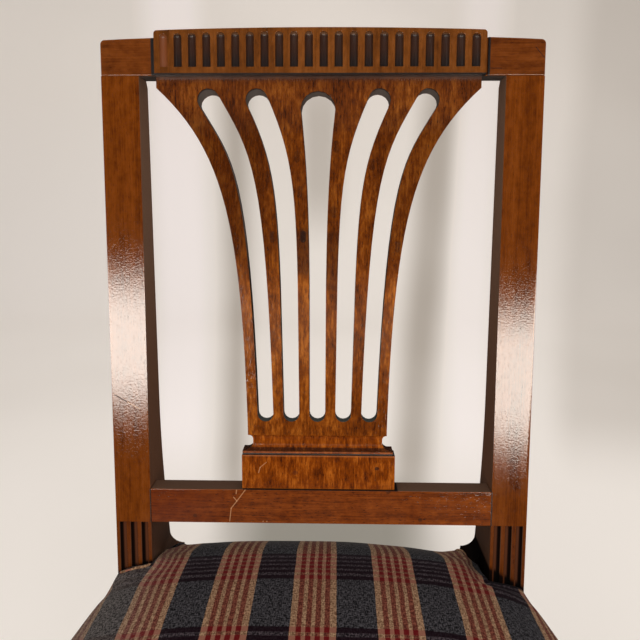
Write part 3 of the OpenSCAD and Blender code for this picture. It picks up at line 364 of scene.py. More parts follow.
across = (0, math.radians(90), 0)
endways = (math.radians(90), 0, 0)
woods = {
    # Dark, middle and light, the nodes with the width of their eased arrises, and the rest of the finish
    "stile": ((70, 28, 5), (107, 51, 9), (128, 66, 20), {"back_post_left": 0.0009, "back_post_right": 0.0009},
              dict(shift=(3, 1, 7), stainsAndLight=stileStainsAndShade)),
    "crest": ((66, 28, 8), (102, 50, 16), (126, 68, 26), {"crest_rail": 0.0012},
              dict(shift=(8, 2, 1), stainsAndLight=crestStainsAndShade, turn=across)),
    "tablet": ((60, 30, 10), (106, 58, 20), (136, 80, 36), {"crest_tablet": 0.0006},
               dict(shift=(1, 5, 2), stainsAndLight=tabletStainsAndLight, figure=0.35)),
    "splat": ((54, 20, 6), (121, 58, 10), (178, 102, 32), {"splat": 0.0006},
              dict(shift=(5, 5, 0), stainsAndLight=splatStainsAndShade, figure=0.6, pores=0.7, arris=0.2, spread=(0.39, 0.61))),
    "shoe": ((58, 20, 4), (127, 57, 6), (184, 100, 28), {"shoe_moulding": 0.0005, "shoe_block": 0.0008},
             dict(shift=(2, 9, 4), stainsAndLight=shoeStainsAndHighlights, figure=0.6, pores=0.7, spread=(0.39, 0.61))),
    "rail": ((56, 22, 8), (114, 52, 14), (150, 76, 24), {"lower_back_rail": 0.0009},
             dict(shift=(7, 3, 3), stainsAndLight=railStains, turn=across, pores=0.95)),
    "leg": ((70, 30, 9), (118, 55, 14), (146, 74, 28), {"front_leg_left": 0.0009, "front_leg_right": 0.0009},
            dict(shift=(4, 8, 5), leaning=False)),
    "sideBar": ((66, 28, 9), (112, 52, 15), (140, 70, 27),
                {"side_stretcher_left": 0.001, "side_stretcher_right": 0.001},
                dict(shift=(9, 4, 2), turn=endways, leaning=False)),
    "bar": ((66, 28, 9), (112, 52, 15), (140, 70, 27), {"cross_stretcher": 0.001, "back_stretcher": 0.001},
            dict(shift=(6, 1, 9), turn=across, leaning=False)),
}


def coat(piece, material):
    # The material becomes the piece's only one
    piece.data.materials.clear()
    piece.data.materials.append(material)


def finishPiece(piece, material, slotName, *nodes):
    # The piece takes its material, rides on the chair and stands for the CAD nodes
    coat(piece, material)
    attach(piece, "root")
    if nodes:
        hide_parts(*nodes)
    return piece


# Easing: what is merged, and in degrees what counts as flat, as an arris and as a crease afterwards
easing = {"merge": 2e-6, "flat": 0.4, "arris": 28, "crease": 32, "steps": 2}

# Cut by hand, these pieces sit left of the middle: the whole shift, how much more in the middle, and half the width
drifts = {"splat": (0.0033, 0.0, 1.0), "shoe_moulding": (0.003, 0.0, 1.0), "shoe_block": (0.0022, 0.0, 1.0),
          "crest_tablet": (0.0017, 0.003, 0.152)}

# The slots' heads were sawn askew: middle, level, radius, and how far the rim is off aside and down behind
slotHeads = [(-0.103, 0.4761, 0.0103, 0.0026, -0.0042), (-0.0576, 0.4761, 0.0103, 0.0014, -0.0042),
             (0.0, 0.4676, 0.01625, 0.0006, -0.0024), (0.0576, 0.4761, 0.0103, -0.0016, -0.0038),
             (0.103, 0.4761, 0.0103, -0.0016, -0.0026)]
# The rim moves this far round a slot and in from the back, by the root of middle plus growth upwards
sawn = {"round": 0.0016, "deep": 0.0025, "middle": 0.45, "growth": 0.6}


def sawAskew(places):
    # On the splat's back face the points round a slot's head move, those at its top most
    u = places[:, 0]
    y, z = places[:, 1] - seatLine[1], places[:, 2] - seatLine[2]
    w, v = y * leanCos - z * leanSin, z * leanCos + y * leanSin
    for middle, level, radius, aside, down in slotHeads:
        near = (np.hypot(u - middle, v - level) < radius + sawn["round"]) & (w > back["splatBack"] - sawn["deep"])
        moved = np.sqrt(np.clip((v - level) / radius * sawn["growth"] + sawn["middle"], 0, 1))
        share = np.where(near, moved, 0)
        for axis, move in enumerate((aside, down * leanSin, down * leanCos)):
            places[:, axis] += move * share


def pointsOf(mesh):
    # The places of the mesh's points, one row each
    places = np.zeros(len(mesh.vertices) * 3, np.float32)
    mesh.vertices.foreach_get("co", places)
    return places.reshape(-1, 3)


def easedCopy(node, width):
    # The node's shape with its outer arrises eased by width; the new faces carry the attribute arris
    form = bmesh.new()
    form.from_mesh(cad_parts[node].data)
    bmesh.ops.remove_doubles(form, verts=form.verts, dist=easing["merge"])
    bmesh.ops.dissolve_limit(form, angle_limit=math.radians(easing["flat"]), verts=form.verts, edges=form.edges)
    wearAndSheen = form.faces.layers.float.new("arris")
    sharp = math.radians(easing["arris"])
    edges = [e for e in form.edges if e.is_manifold and e.is_convex and e.calc_face_angle(0) > sharp]
    made = bmesh.ops.bevel(form, geom=edges, offset=width, segments=easing["steps"], profile=0.5, affect="EDGES",
                           clamp_overlap=True, loop_slide=True)
    for face in made["faces"]:
        face[wearAndSheen] = 1.0
    mesh = bpy.data.meshes.new(node + "_wood")
    form.to_mesh(mesh)
    form.free()
    places = pointsOf(mesh)
    if node == "splat":
        sawAskew(places)
    whole, middle, half = drifts.get(node, (0.0, 0.0, 1.0))
    places[:, 0] -= whole + middle * (1 - (places[:, 0] / half) ** 2)
    mesh.vertices.foreach_set("co", places.ravel())
    mesh.shade_smooth()
    mesh.set_sharp_from_angle(angle=math.radians(easing["crease"]))
    piece = linked(bpy.data.objects.new(node + "_wood", mesh))
    piece.modifiers.new("flatFaces", "WEIGHTED_NORMAL").keep_sharp = True
    return piece


for finish, (dark, middle, light, pieces, options) in woods.items():
    material = mahogany(finish + "Mahogany", dark, middle, light, **options)
    for node, width in pieces.items():
        finishPiece(easedCopy(node, width), material, "mahogany", node)
print("Wood eased and polished in", len(woods), "finishes")


# Seat
# Lengths from the seat line, as the stuffed form in the CAD has them
seat = {
    "railTop": -0.02, "railLow": -0.082, "crown": 0.058, "power": 2.6, "frontHalf": 0.254, "depth": 0.379,
    "legWidth": 0.042, "bow": 0.008, "sideBulge": 0.008, "frontBulge": 0.006, "cornerRadius": 0.01, "out": 0.0026,
    "backReach": 0.075, "railThick": 0.025, "backHalf": 0.205, "postInner": 0.1697, "cove": 0.015, "gap": 0.0003,
    "tuckLow": -0.0163, "clothThick": 0.0016, "aroundPoints": 440, "shares": 62, "wallRings": 12,
    # The notch's own points begin and end this far inside its corners
    "insideCorner": 0.0006,
    # The cloth follows a leaning post: over what width, how far behind its front, and how far inwards at most
    "leanWide": 0.012, "leanBehind": 0.01, "leanFrom": 0.03,
}
legRear = -(seat["depth"] - seat["legWidth"])
shoulder = seat["railTop"] * math.tan(lean)
sideStart = seat["backHalf"] - seat["out"]
sideSlope = (seat["frontHalf"] - sideStart) / (shoulder - legRear)
coverHalf = seat["frontHalf"] + seat["out"]
coverBack = seat["backReach"] + seat["out"]
coverFront = -seat["depth"] - seat["out"]
seatMid = (coverBack + coverFront - seat["bow"] - seat["frontBulge"]) / 2
frontFlat = coverHalf - seat["cornerRadius"]
# The notch round a post: the post's inner side, and the side and the rear of the ear of the seat behind it
inner, ear = seat["postInner"] - seat["gap"], seat["postInner"] - seat["cove"] - seat["gap"]
earBack = seat["backReach"] - seat["railThick"] - seat["gap"]
notchFront = shoulder - seat["gap"]


def frontEdge(x, bulge):
    # The bowed front rail's line and, with bulge, the stuffing in front of it
    bow = seat["bow"] * np.maximum(0, 1 - (x / (seat["frontHalf"] - seat["legWidth"])) ** 2)
    full = seat["frontBulge"] * (1 - np.minimum(np.abs(x) / frontFlat, 1) ** 4)
    return coverFront - bow - bulge * full


def railSide(y):
    # The splayed side rail's straight line
    return sideStart + sideSlope * (shoulder - y)


def sideEdge(y, bulge):
    # The cover's line beside the side rail, and the stuffing there as a half sine
    straight = np.where(y < legRear, coverHalf, np.minimum(coverHalf, railSide(y) + seat["out"]))
    share = (shoulder - y) / (shoulder - legRear)
    return straight + bulge * seat["sideBulge"] * np.sin(np.pi * np.clip(share, 0, 1))


def halfOutline(bulge):
    # Right half of the seat's plan from front to back: columns are x, y and 1 at the notch round the post
    x = np.linspace(0, frontFlat, 60)
    turn = np.linspace(0, np.pi / 2, 12)[1:]
    y = np.linspace(legRear, notchFront, 90)
    corner = [frontFlat + seat["cornerRadius"] * np.sin(turn),
              coverFront + seat["cornerRadius"] * (1 - np.cos(turn))]
    notch = [[seat["backHalf"] - seat["insideCorner"], inner, inner, ear, ear],
             [notchFront, notchFront, earBack, earBack, coverBack - seat["insideCorner"]]]
    lines = ([x, frontEdge(x, bulge)], corner, [sideEdge(y, bulge), y], notch,
             [np.linspace(ear, 0, 40), np.full(40, coverBack)])
    return np.vstack([np.stack([*line, np.full(len(line[0]), line is notch)], 1) for line in lines])


def lengths(line):
    # How far along the line each of its points is
    return np.r_[0, np.cumsum(np.linalg.norm(np.diff(line, axis=0), axis=1))]


def readAt(places, steps, table):
    # The table's columns, read at places between its steps
    return np.stack([np.interp(places, steps, column) for column in table.T], 1)


def closedPlan(half, count, base=None):
    # Both halves of the plan, anticlockwise from the middle of the front, at even steps of the length of base
    steps = lengths((half if base is None else base)[:, :2])
    half = readAt(np.linspace(0, steps[-1], count // 2 + 1), steps, half)
    return np.vstack([half, half[-2:0:-1] * ([-1] + [1] * (half.shape[1] - 1))])


def outline(bulge, count):
    # The cover's plan, with the same steps for every bulge
    return closedPlan(halfOutline(bulge), count, halfOutline(1.0))


def fall(t):
    # A superellipse's quarter: 1 in the middle and 0 at the edge
    return np.maximum(0, 1 - np.minimum(np.abs(t), 1) ** seat["power"]) ** (1 / seat["power"])


def crownHeight(x, y):
    # Product of the fall across and the fall along
    deep = (y - seatMid) / np.where(y > seatMid, coverBack - seatMid, frontEdge(x, 1.0) - seatMid)
    return seat["railTop"] + seat["crown"] * fall(x / sideEdge(y, (y <= shoulder) * 1.0)) * fall(deep)


def besideNotch(x, y):
    # Distance in plan to the notch round the post on the same side, and how far along it the nearest place is
    x = np.abs(x)
    line = halfOutline(1.0)
    line = line[line[:, 2] > 0][:, :2]
    best, at, passed = np.full(x.shape, 9.0), np.zeros(x.shape), 0.0
    for (startX, startY), (dx, dy) in zip(line, np.diff(line, axis=0)):
        length = np.hypot(dx, dy)
        along = np.clip(((x - startX) * dx + (y - startY) * dy) / length ** 2, 0, 1)
        d = np.hypot(x - startX - along * dx, y - startY - along * dy)
        at = np.where(d < best, passed + along * length, at)
        best, passed = np.minimum(best, d), passed + length
    return best, at


def bell(x, y, at, reach):
    # 1 at a place and less with the square of the distance from it
    return np.exp(-((x - at[0]) ** 2 + (y - at[1]) ** 2) / reach ** 2)


def smooth(t):
    # 0 below 0, 1 above 1, and a cubic between
    t = np.clip(t, 0, 1)
    return t * t * (3 - 2 * t)


def softStep(t, soft):
    # The logistic curve, from 0 to 1 round 0
    return 1 / (1 + np.exp(-t / soft))


stuffing = {
    # Rises and dips of the real seat that the even crown lacks: place, height, reach
    "lumps": [((-0.175, -0.02), 0.004, 0.05), ((-0.09, -0.12), 0.0012, 0.06), ((0.07, -0.06), -0.001, 0.05),
              ((0.03, -0.25), 0.0012, 0.08), ((0.075, 0.06), -0.003, 0.035), ((0.13, 0.06), -0.007, 0.035),
              ((-0.12, 0.078), -0.0015, 0.016)],
    "fullLeft": 0.0082, "fullRight": 0.0035, "fade": 0.026, "drawnFrom": 0.02, "drawnOver": 0.055, "drawn": 0.055,
    # The fuller sides start and end softly: level along the side or upwards, and how softly
    "fullStart": (0.17, 0.03), "fullEnd": (0.02, 0.006), "fullAbove": (0.045, 0.008),
    # Beside the posts the pattern is pulled askew: which side, from where, over how much, and how far
    "pulled": [(1, 0.11, 0.06, 0.0065), (-1, 0.165, 0.035, -0.005)],
    # In front of the left post the pattern is pinched: place, reach and how far
    "pinched": ((-0.172, 0.005), 0.022, 0.009),
    # The fuller edge goes back to the rail's line on the way down: share of the way, and of the fullness there
    "wallShares": ((0, 0.22, 0.5, 1), (1, 1, 0.6, 0)),
    # The pad inside: its share of the plan, how far it is below the crown, the cover and the tuck, the share of
    # its plan at its foot, and how thin it may be
    "padShare": 0.978, "padBelowCrown": 0.003, "padBelowCover": 0.004, "padRings": 30, "padFoot": 0.995,
    "padGap": 0.0002, "padThin": 0.0006,
    # Beside a post the cloth runs along a ridge and turns in: place along the notch, the ridge's height,
    # its distance from the wood and how deep the cloth goes in, all in millimetres
    "left": [(0, 12, 4, 4), (14.5, 18, 4, 4), (27.5, 20.5, 4, 4), (35, 23, 4, 5), (43, 22, 4, 4), (53, 18.5, 4, 4),
             (60, 16, 4, 4), (68, 13, 4, 4), (80, 7.5, 4, 4), (88, 4.5, 4, 3), (96, 7, 3, 3), (103, 9, 3, 3),
             (112, 5, 3, 3), (121, -2, 4, 4), (130, -15, 4, 2)],
    "right": [(0, -2, 3, 3), (5, 1, 3, 3), (16.5, 4.5, 3, 4), (25, 6, 3, 4), (35, 8.5, 4, 5), (43, 7.6, 4, 5),
              (53, 3.8, 4, 6), (60, 0.7, 4, 6), (68, -2.4, 4, 6), (80, -6.5, 4, 5), (88, -8, 4, 5), (96, -4, 4, 5),
              (103, 3.5, 4, 4), (112, 1.5, 3, 4), (121, -4, 4, 4), (130, -15, 4, 2)],
}


def besidePost(x, y):
    # Distance to the notch, and the ridge's height, its distance from the wood and the depth of the tuck there
    d, at = besideNotch(x, y)
    left, right = (np.array(stuffing[side]).T / 1000 for side in ("left", "right"))
    return d, *(np.where(x < 0, np.interp(at, left[0], left[k]), np.interp(at, right[0], right[k]))
                for k in (1, 2, 3))


def sewnHeight(x, y):
    # The crown with its lumps, drawn to the ridges beside the posts, where the cloth goes in by a quarter round
    z = crownHeight(x, y)
    for at, height, reach in stuffing["lumps"]:
        z = z + height * bell(x, y, at, reach)
    d, ridge, away, deep = besidePost(x, y)
    near = smooth((stuffing["fade"] - d) / (stuffing["fade"] - away)) \
        * np.sqrt(np.clip((sideEdge(y, 1.0) - np.abs(x)) / 0.004, 0, 1))
    turned = 1 - np.sqrt(1 - np.clip(1 - d / away, 0, 1) ** 2)
    return z + (ridge - z) * near - deep * turned


def leanEdge(x, y, z):
    # Beside the leaning front of a post the cloth follows it: y grows with the height, less so further away
    d, _ = besideNotch(x, y)
    share = np.exp(-d / seat["leanWide"] - np.maximum(0, y - shoulder) / seat["leanBehind"]) \
        * (np.abs(x) > seat["postInner"] - seat["leanFrom"])
    return y + (z - seat["railTop"]) * math.tan(lean) * share


latticeStep, steepest = 0.001, 0.003  # the rise in one step is read as no more than steepest


def clothCoordinates():
    # Lengths along the cloth from the seat line, by adding up the slope on a fine lattice of the plan
    xs, ys = np.arange(-0.27, 0.2701, latticeStep), np.arange(-0.402, 0.0821, latticeStep)
    Z = sewnHeight(*np.meshgrid(xs, ys))
    stepX, stepY = (np.hypot(latticeStep, np.clip(np.diff(Z, axis=axis), -steepest, steepest)) for axis in (1, 0))
    U = np.c_[np.zeros(len(ys)), np.cumsum(stepX, axis=1)]
    U -= U[:, [int(np.argmin(np.abs(xs)))]]
    V = np.vstack([np.zeros(len(xs)), np.cumsum(stepY, axis=0)])
    V -= V[[int(np.argmin(np.abs(ys)))], :]
    return xs, ys, U, V


latticeX, latticeY, latticeU, latticeV = clothCoordinates()


def onCloth(x, y):
    # Bilinear reading of the cloth's coordinates
    fx = np.clip((x - latticeX[0]) / latticeStep, 0, len(latticeX) - 1.001)
    fy = np.clip((y - latticeY[0]) / latticeStep, 0, len(latticeY) - 1.001)
    i, j = fx.astype(int), fy.astype(int)
    a, b = fx - i, fy - j
    read = lambda grid: (grid[j, i] * (1 - a) * (1 - b) + grid[j, i + 1] * a * (1 - b)
                         + grid[j + 1, i] * (1 - a) * b + grid[j + 1, i + 1] * a * b)
    return np.stack([read(latticeU), read(latticeV)], -1)


def newPiece(name, points, faces, cloth=None):
    # A smooth mesh; cloth is each point's place on its cloth, kept as the UV map
    mesh = bpy.data.meshes.new(name)
    mesh.from_pydata(points.tolist(), [], faces)
    if cloth is not None:
        loops = np.zeros(len(mesh.loops), np.int32)
        mesh.loops.foreach_get("vertex_index", loops)
        mesh.uv_layers.new(name="cloth").data.foreach_set("uv", cloth[loops].astype(np.float32).ravel())
    mesh.shade_smooth()
    return linked(bpy.data.objects.new(name, mesh))


def ringMesh(name, rings, top=None, bottom=None, cloth=None):
    # Rings of equal count, from the middle outwards and down; poles close the ends
    count, around = rings.shape[:2]
    points = rings.reshape(-1, 3)
    at = np.arange(count * around).reshape(count, around)
    after = np.roll(at, -1, axis=1)
    faces = np.stack([at[:-1], at[1:], after[1:], after[:-1]], -1).reshape(-1, 4).tolist()
    for pole, one, two in ((top, at[0], after[0]), (bottom, after[-1], at[-1])):
        if pole is not None:
            faces += np.stack([np.full(around, len(points)), one, two], -1).tolist()
            points = np.vstack([points, pole])
    return newPiece(name, points + seatLine, faces, cloth)


def quads(at):
    # Faces between the rows and columns of a grid of point numbers
    return np.stack([at[:-1, :-1], at[:-1, 1:], at[1:, 1:], at[1:, :-1]], -1).reshape(-1, 4).tolist()


def thicken(piece, thickness):
    # The sheet gets its thickness on its inner side
    solid = piece.modifiers.new("thickness", "SOLIDIFY")
    solid.thickness, solid.offset = thickness, -1
    return piece


def ringShares(count, power=1.9):
    # A column of shares of the plan, closer together towards the edge
    return 1 - (1 - np.linspace(0, 1, count + 1)[1:, None]) ** power


def drawnIn(plan, shares):
    # The plan drawn in towards the middle, one row for each share
    return plan[:, 0] * shares, seatMid + (plan[:, 1] - seatMid) * shares


def unit(rows):
    # Each row divided by its length
    return rows / np.maximum(np.linalg.norm(rows, axis=1, keepdims=True), 1e-9)


def coverRings():
    # Top: the plan drawn in and lifted to the sewn height. Walls: down to the rails' foot, at the notches to the
    # hessian, as the bulge fades out.
    plan = outline(1.0, seat["aroundPoints"])
    x, y = drawnIn(plan, ringShares(seat["shares"]))
    z = sewnHeight(x, y)
    rings, uvs = [np.stack([x, leanEdge(x, y, z), z], -1)], [onCloth(x, y)]
    edge, edgeUv = z[-1], uvs[0][-1]
    chord = np.roll(plan[:, :2], -1, axis=0) - np.roll(plan[:, :2], 1, axis=0)
    outward = unit(chord[:, ::-1] * (1, -1))
    foot = np.where(plan[:, 2] > 0, seat["tuckLow"], seat["railLow"])
    for share in np.linspace(0, 1, seat["wallRings"] + 1)[1:]:
        x, y, _ = outline(float(np.interp(share, *stuffing["wallShares"])), seat["aroundPoints"]).T
        z = edge + (foot - edge) * share
        rings.append(np.stack([x, leanEdge(x, y, z), z], -1)[None])
        uvs.append((edgeUv + outward * np.abs(edge - z)[:, None])[None])
    rings, uvs = np.concatenate(rings), np.concatenate(uvs)
    (x, y, z), (u, v) = np.moveaxis(rings, -1, 0), np.moveaxis(uvs, -1, 0)
    # The sides are stuffed fuller towards the back, the left one more
    side = np.clip(x / sideEdge(y, 1.0), -1.05, 1.05)
    fuller = np.where(side < 0, stuffing["fullLeft"], stuffing["fullRight"]) * side ** 5
    for axis, way, kind in ((y, 1, "fullStart"), (y, -1, "fullEnd"), (z, 1, "fullAbove")):
        level, soft = stuffing[kind]
        fuller = fuller * softStep(way * (axis + level), soft)
    x += fuller
    u += fuller
    # The pattern narrows over the rear edge, and is pulled askew beside the posts
    u *= 1 + stuffing["drawn"] * smooth((y - stuffing["drawnFrom"]) / stuffing["drawnOver"])
    for way, start, over, pull in stuffing["pulled"]:
        v += pull * np.clip((way * x - start) / over, 0, 1)
    place, reach, pinch = stuffing["pinched"]
    u -= pinch * bell(x, y, place, reach)
    return rings, uvs


rings, uvs = coverRings()
seatCentre = np.zeros(1), np.full(1, seatMid)
cover = ringMesh("seatCover", rings, top=[[0, seatMid, float(sewnHeight(*seatCentre)[0])]],
                 cloth=np.vstack([uvs.reshape(-1, 2), onCloth(*seatCentre)]))
# The attribute tucked tells the shader where the cloth has turned in beside a post; there the shader paints shade
notchNear, _, tuckReach, _ = besidePost(rings[..., 0], rings[..., 1])
cover.data.attributes.new("tucked", "FLOAT", "POINT").data.foreach_set(
    "value", np.r_[np.clip(1 - notchNear / tuckReach, 0, 1).ravel(), 0].astype(np.float32))
print("Seat cover:", len(cover.data.vertices), "points")

simulation = {
    # Held fixed: the reach round the posts and how full there, the rings within the rim and how firmly
    "held": (0.02, 1.6, 4, 0.7), "frames": 20, "cap": 0.002, "settings": {
        "quality": 4, "mass": 0.25, "tension_stiffness": 25, "bending_stiffness": 0.6, "vertex_group_mass": "held",
        "use_pressure": True, "uniform_pressure_force": 1.5},
}


def settleCloth(piece, held):
    # The cloth is blown against its fixed edges for a few frames, and each point moves no further than the cap
    group = piece.vertex_groups.new(name="held")
    for weight in np.unique(held.round(2)):
        group.add(np.nonzero(held.round(2) == weight)[0].tolist(), float(weight), "REPLACE")
    cloth = piece.modifiers.new("settle", "CLOTH")
    for name, value in simulation["settings"].items():
        setattr(cloth.settings, name, value)
    cloth.settings.effector_weights.gravity = 0
    scene = bpy.context.scene
    for step in range(1, simulation["frames"] + 1):
        scene.frame_set(step)
    shown = piece.evaluated_get(bpy.context.evaluated_depsgraph_get())
    before, after = pointsOf(piece.data), pointsOf(shown.data)
    piece.modifiers.remove(cloth)
    scene.frame_set(1)
    move = after - before
    length = np.linalg.norm(move, axis=1, keepdims=True)
    move *= np.minimum(1, simulation["cap"] / np.maximum(length, 1e-9))
    piece.data.vertices.foreach_set("co", (before + move).ravel())
    piece.data.update()
    print("Cloth settled; the largest move was", round(float(length.max()) * 1000, 1), "mm")


reach, full, within, least = simulation["held"]
held, rim = np.clip(np.exp(-notchNear / reach) * full, 0, 1), seat["shares"]
held[rim:] = 1
held[rim - within:rim] = np.maximum(held[rim - within:rim], least)
settleCloth(cover, np.r_[held.ravel(), 0])
thicken(cover, seat["clothThick"])


# Plaid
plaid = {
    # Warp: the beige band, its burgundy stripes and the repeat. Weft: lines by their distance from the middle of
    # the wide pair, mirrored about it.
    "warpRepeat": 0.0755, "warpStart": -0.0236, "beigeWidth": 0.0402,
    "stripes": (0.008, 0.0162, 0.0242, 0.0322), "stripeWidth": 0.0046,
    "weftMiddle": -0.12, "weftRepeat": 0.166, "thin": (0.0936, 0.1024, 0.1108, 0.1196, 0.1292), "thinWidth": 0.005,
    "thick": (0.0057, 0.0827), "thickWidth": 0.0066, "thread": 0.0011, "soft": 0.0003,
    "slate": ((2, 2, 4), (76, 73, 76)), "plum": ((8, 4, 8), (78, 68, 72)),
    "beige": ((98, 68, 48), (166, 132, 102)), "burgundy": ((70, 28, 22), (124, 70, 54)),
    "lineSlate": (20, 5, 13), "lineBeige": (132, 84, 68), "lineBurgundy": (92, 9, 14), "wearAndSheen": (132, 122, 114),
    "sheen": 0.03,
}


def plaidCloth(name):
    # Warp bands by the first cloth coordinate and weft lines by the second, coloured anew over each band
    material, place = newMaterial(name)
    cloth = place.node("UVMap", {"uv_map": "cloth"})
    wobble = cloth.noise((30, 30, 1), 2, 0.5) * 0.0016 + cloth.noise((500, 500, 1), 1, 0.5) * 0.0006 - 0.0011
    u, v = (axis + wobble for axis in cloth.axes()[:2])
    phase = (u - plaid["warpStart"]).maths("FLOORED_MODULO", plaid["warpRepeat"])
    row = (v - plaid["weftMiddle"]).maths("PINGPONG", plaid["weftRepeat"])
    lines = lambda axis, centres, width: sum(
        axis.within(centre - width / 2, centre + width / 2, plaid["soft"]) for centre in centres)
    band = phase.within(0, plaid["beigeWidth"], plaid["soft"])
    stripe = lines(phase, plaid["stripes"], plaid["stripeWidth"])
    line = lines(row, plaid["thin"], plaid["thinWidth"]) + lines(row, plaid["thick"], plaid["thickWidth"])
    group = row.within(plaid["thick"][1], plaid["thin"][-1], plaid["soft"]) + row.rise(0.0055, 0.0045)
    # Threads: noise stretched along the warp and along the weft, and flecks where light and dark threads cross
    rib = u.wave(plaid["thread"]) * v.wave(plaid["thread"])
    heather = cloth.noise((1000, 220, 1), 2, 0.6) * 0.4 + cloth.noise((220, 1000, 1), 2, 0.6) * 0.4 \
        + cloth.noise((620, 620, 1), 1, 0.6) * 0.2 + rib * 0.05
    light = heather.rise(0.44, 0.58)
    ground = group.blend(light.blend(*plaid["slate"]), light.blend(*plaid["plum"]))
    ground = band.blend(ground, stripe.blend(light.blend(*plaid["beige"]), light.blend(*plaid["burgundy"])))
    dark = band.blend(plaid["lineSlate"], stripe.blend(plaid["lineBeige"], plaid["lineBurgundy"]))
    colour = (line * (1.0 - light * 0.12)).blend(ground, dark)
    # Painted sheen: lighter towards the rear edge and on the left, where light grazes the cloth
    wearAndSheen = v.rise(0.02, 0.08) * 0.16 + u.rise(-0.12, -0.22) * (light * 0.45 + 0.08)
    colour = wearAndSheen.blend(colour, plaid["wearAndSheen"])
    # Painted shade: the cloth turned in beside a post is painted almost black
    tucked = place.node("Attribute", {"attribute_name": "tucked"}, out=2)
    colour = (tucked.rise(0.15, 0.7) * 0.95).blend(colour, sootAndShade)
    return feed(material, colour, 0.9, heather, 0.5, 0.0006, Sheen_Weight=plaid["sheen"], Sheen_Roughness=0.4,
                Specular_IOR_Level=0.15)


plaidWeave = plaidCloth("plaidCloth")
finishPiece(cover, plaidWeave, "plaid", "seat_cover")

rolls = {
    # The cover's turned edge beside the posts: places from the seat line, radius, and the cloth's u and v there
    "coverRollPost": ([(-0.2012, -0.0055, 0.0139), (-0.1969, -0.0055, 0.0153), (-0.1893, -0.0055, 0.0178),
                       (-0.1833, -0.0055, 0.0202), (-0.1742, -0.0055, 0.0219), (-0.169, -0.005, 0.0248)],
                      0.0014, 0.003, -0.0045),
    "coverRollLeft": ([(-0.1681, 0.048, 0.0021), (-0.1617, 0.051, 0.0044), (-0.1568, 0.056, 0.0054),
                       (-0.1543, 0.062, 0.0033), (-0.1511, 0.066, -0.0002), (-0.1478, 0.068, -0.0035)],
                      0.0013, 0.058, 0.03),
    "coverRollRight": ([(0.1451, 0.066, -0.0051), (0.1489, 0.062, -0.0005), (0.1524, 0.058, 0.0005),
                        (0.1549, 0.052, -0.0012), (0.1552, 0.048, -0.0035)], 0.0019, 0.0125, 0.03),
}


def clothRoll(name, places, radius, band, row, steps=33, around=21):
    # A tube along a smooth line through the places, thinner at its ends; the pattern runs along it
    line = np.array(places)
    curve = readAt(np.linspace(0, len(line) - 1, steps), np.arange(len(line)), line)
    for _ in range(6):
        curve[1:-1] = (curve[:-2] + 2 * curve[1:-1] + curve[2:]) / 4
    ahead = unit(np.gradient(curve, axis=0))
    aside = unit(np.cross(ahead, (0, -0.5, 0.85)))
    above = np.cross(aside, ahead)
    turn = np.linspace(-np.pi, np.pi, around)[None, :, None]
    thick = np.sqrt(np.clip(1 - np.abs(np.linspace(-1, 1, steps)) ** 6, 0.02, 1))[:, None, None] * radius
    tube = curve[:, None] + thick * (np.sin(turn) * aside[:, None] + np.cos(turn) * above[:, None])
    cloth = np.stack(np.broadcast_arrays(plaid["warpStart"] + band + radius * turn[..., 0],
                                         plaid["weftMiddle"] + row + lengths(curve)[:, None]), -1)
    piece = ringMesh(name, tube[:, :-1], top=curve[:1], bottom=curve[-1:], cloth=np.vstack(
        [cloth[:, :-1].reshape(-1, 2), cloth[0].mean(0), cloth[-1].mean(0)]))
    finishPiece(piece, plaidWeave, "plaid")


for name, values in rolls.items():
    clothRoll(name, *values)
print("Plaid woven")


# Under the cover
def plainCloth(name, dark, light, pitch):
    # A plain weave on Object coordinates: the product of two waves, with noisy threads
    material, place = newMaterial(name)
    x, y, _ = place.axes()
    tone = x.wave(pitch) * y.wave(pitch) * 0.25 \
        + (place.noise((900, 60, 60), 2) * 0.5 + place.noise((60, 900, 60), 2) * 0.5)
    return feed(material, tone.rise(0.2, 0.8).blend(dark, light), 0.9, tone, 0.6, 0.0006)


def curledHair(name):
    # Felted hair: two crossed noises bent by a third
    material, place = newMaterial(name)
    bent = place.node("VectorMath", {"operation": "ADD"}, i0=place,
                      i1=place.node("TexNoise", out=1, Vector=place, Scale=40.0, Detail=2.0))
    strands = bent.noise((700, 60, 200), 3, 0.7) * 0.5 + bent.noise((60, 700, 200), 3, 0.7) * 0.5
    return feed(material, strands.rise(0.35, 0.65).blend((34, 26, 22), (104, 86, 70)), 0.85, strands, 0.8, 0.002)


def stuffingPad(around=240):
    # The stitched pad inside the cover: crowned above, flat below
    x, y = drawnIn(outline(1.0, around), ringShares(stuffing["padRings"]) * stuffing["padShare"])
    base = seat["tuckLow"] - stuffing["padGap"]
    lower, lowest, foot = (stuffing[k] for k in ("padBelowCrown", "padBelowCover", "padFoot"))
    z = np.maximum(np.minimum(crownHeight(x, y) - lower, sewnHeight(x, y) - lowest), base + stuffing["padThin"])
    under = np.stack([x[-1] * foot, seatMid + (y[-1] - seatMid) * foot, np.full(around, base)], -1)
    rings = np.concatenate([np.stack([x, y, z], -1), [under, under * (0.5, 0.5, 1) + (0, seatMid / 2, 0)]])
    peak = float(crownHeight(*seatCentre)[0]) - lower
    return ringMesh("stuffingPad", rings, top=[[0, seatMid, peak]], bottom=[[0, seatMid, base]])


pad = finishPiece(stuffingPad(), curledHair("curledHair"), "hair", "seat_stuffing")

sheets = {"edge": 0.008, "thickness": 0.0008, "hessianLevel": -0.0166, "dustSag": 0.0035, "points": 320, "shares": 26,
          "closer": 1.4, "sagPower": 2.2}
sheetSide, sheetFront = seat["frontHalf"] - sheets["edge"], sheets["edge"] - seat["depth"]
sheetBack, legSide = seat["backReach"] - sheets["edge"], seat["frontHalf"] - seat["legWidth"] - seat["gap"]
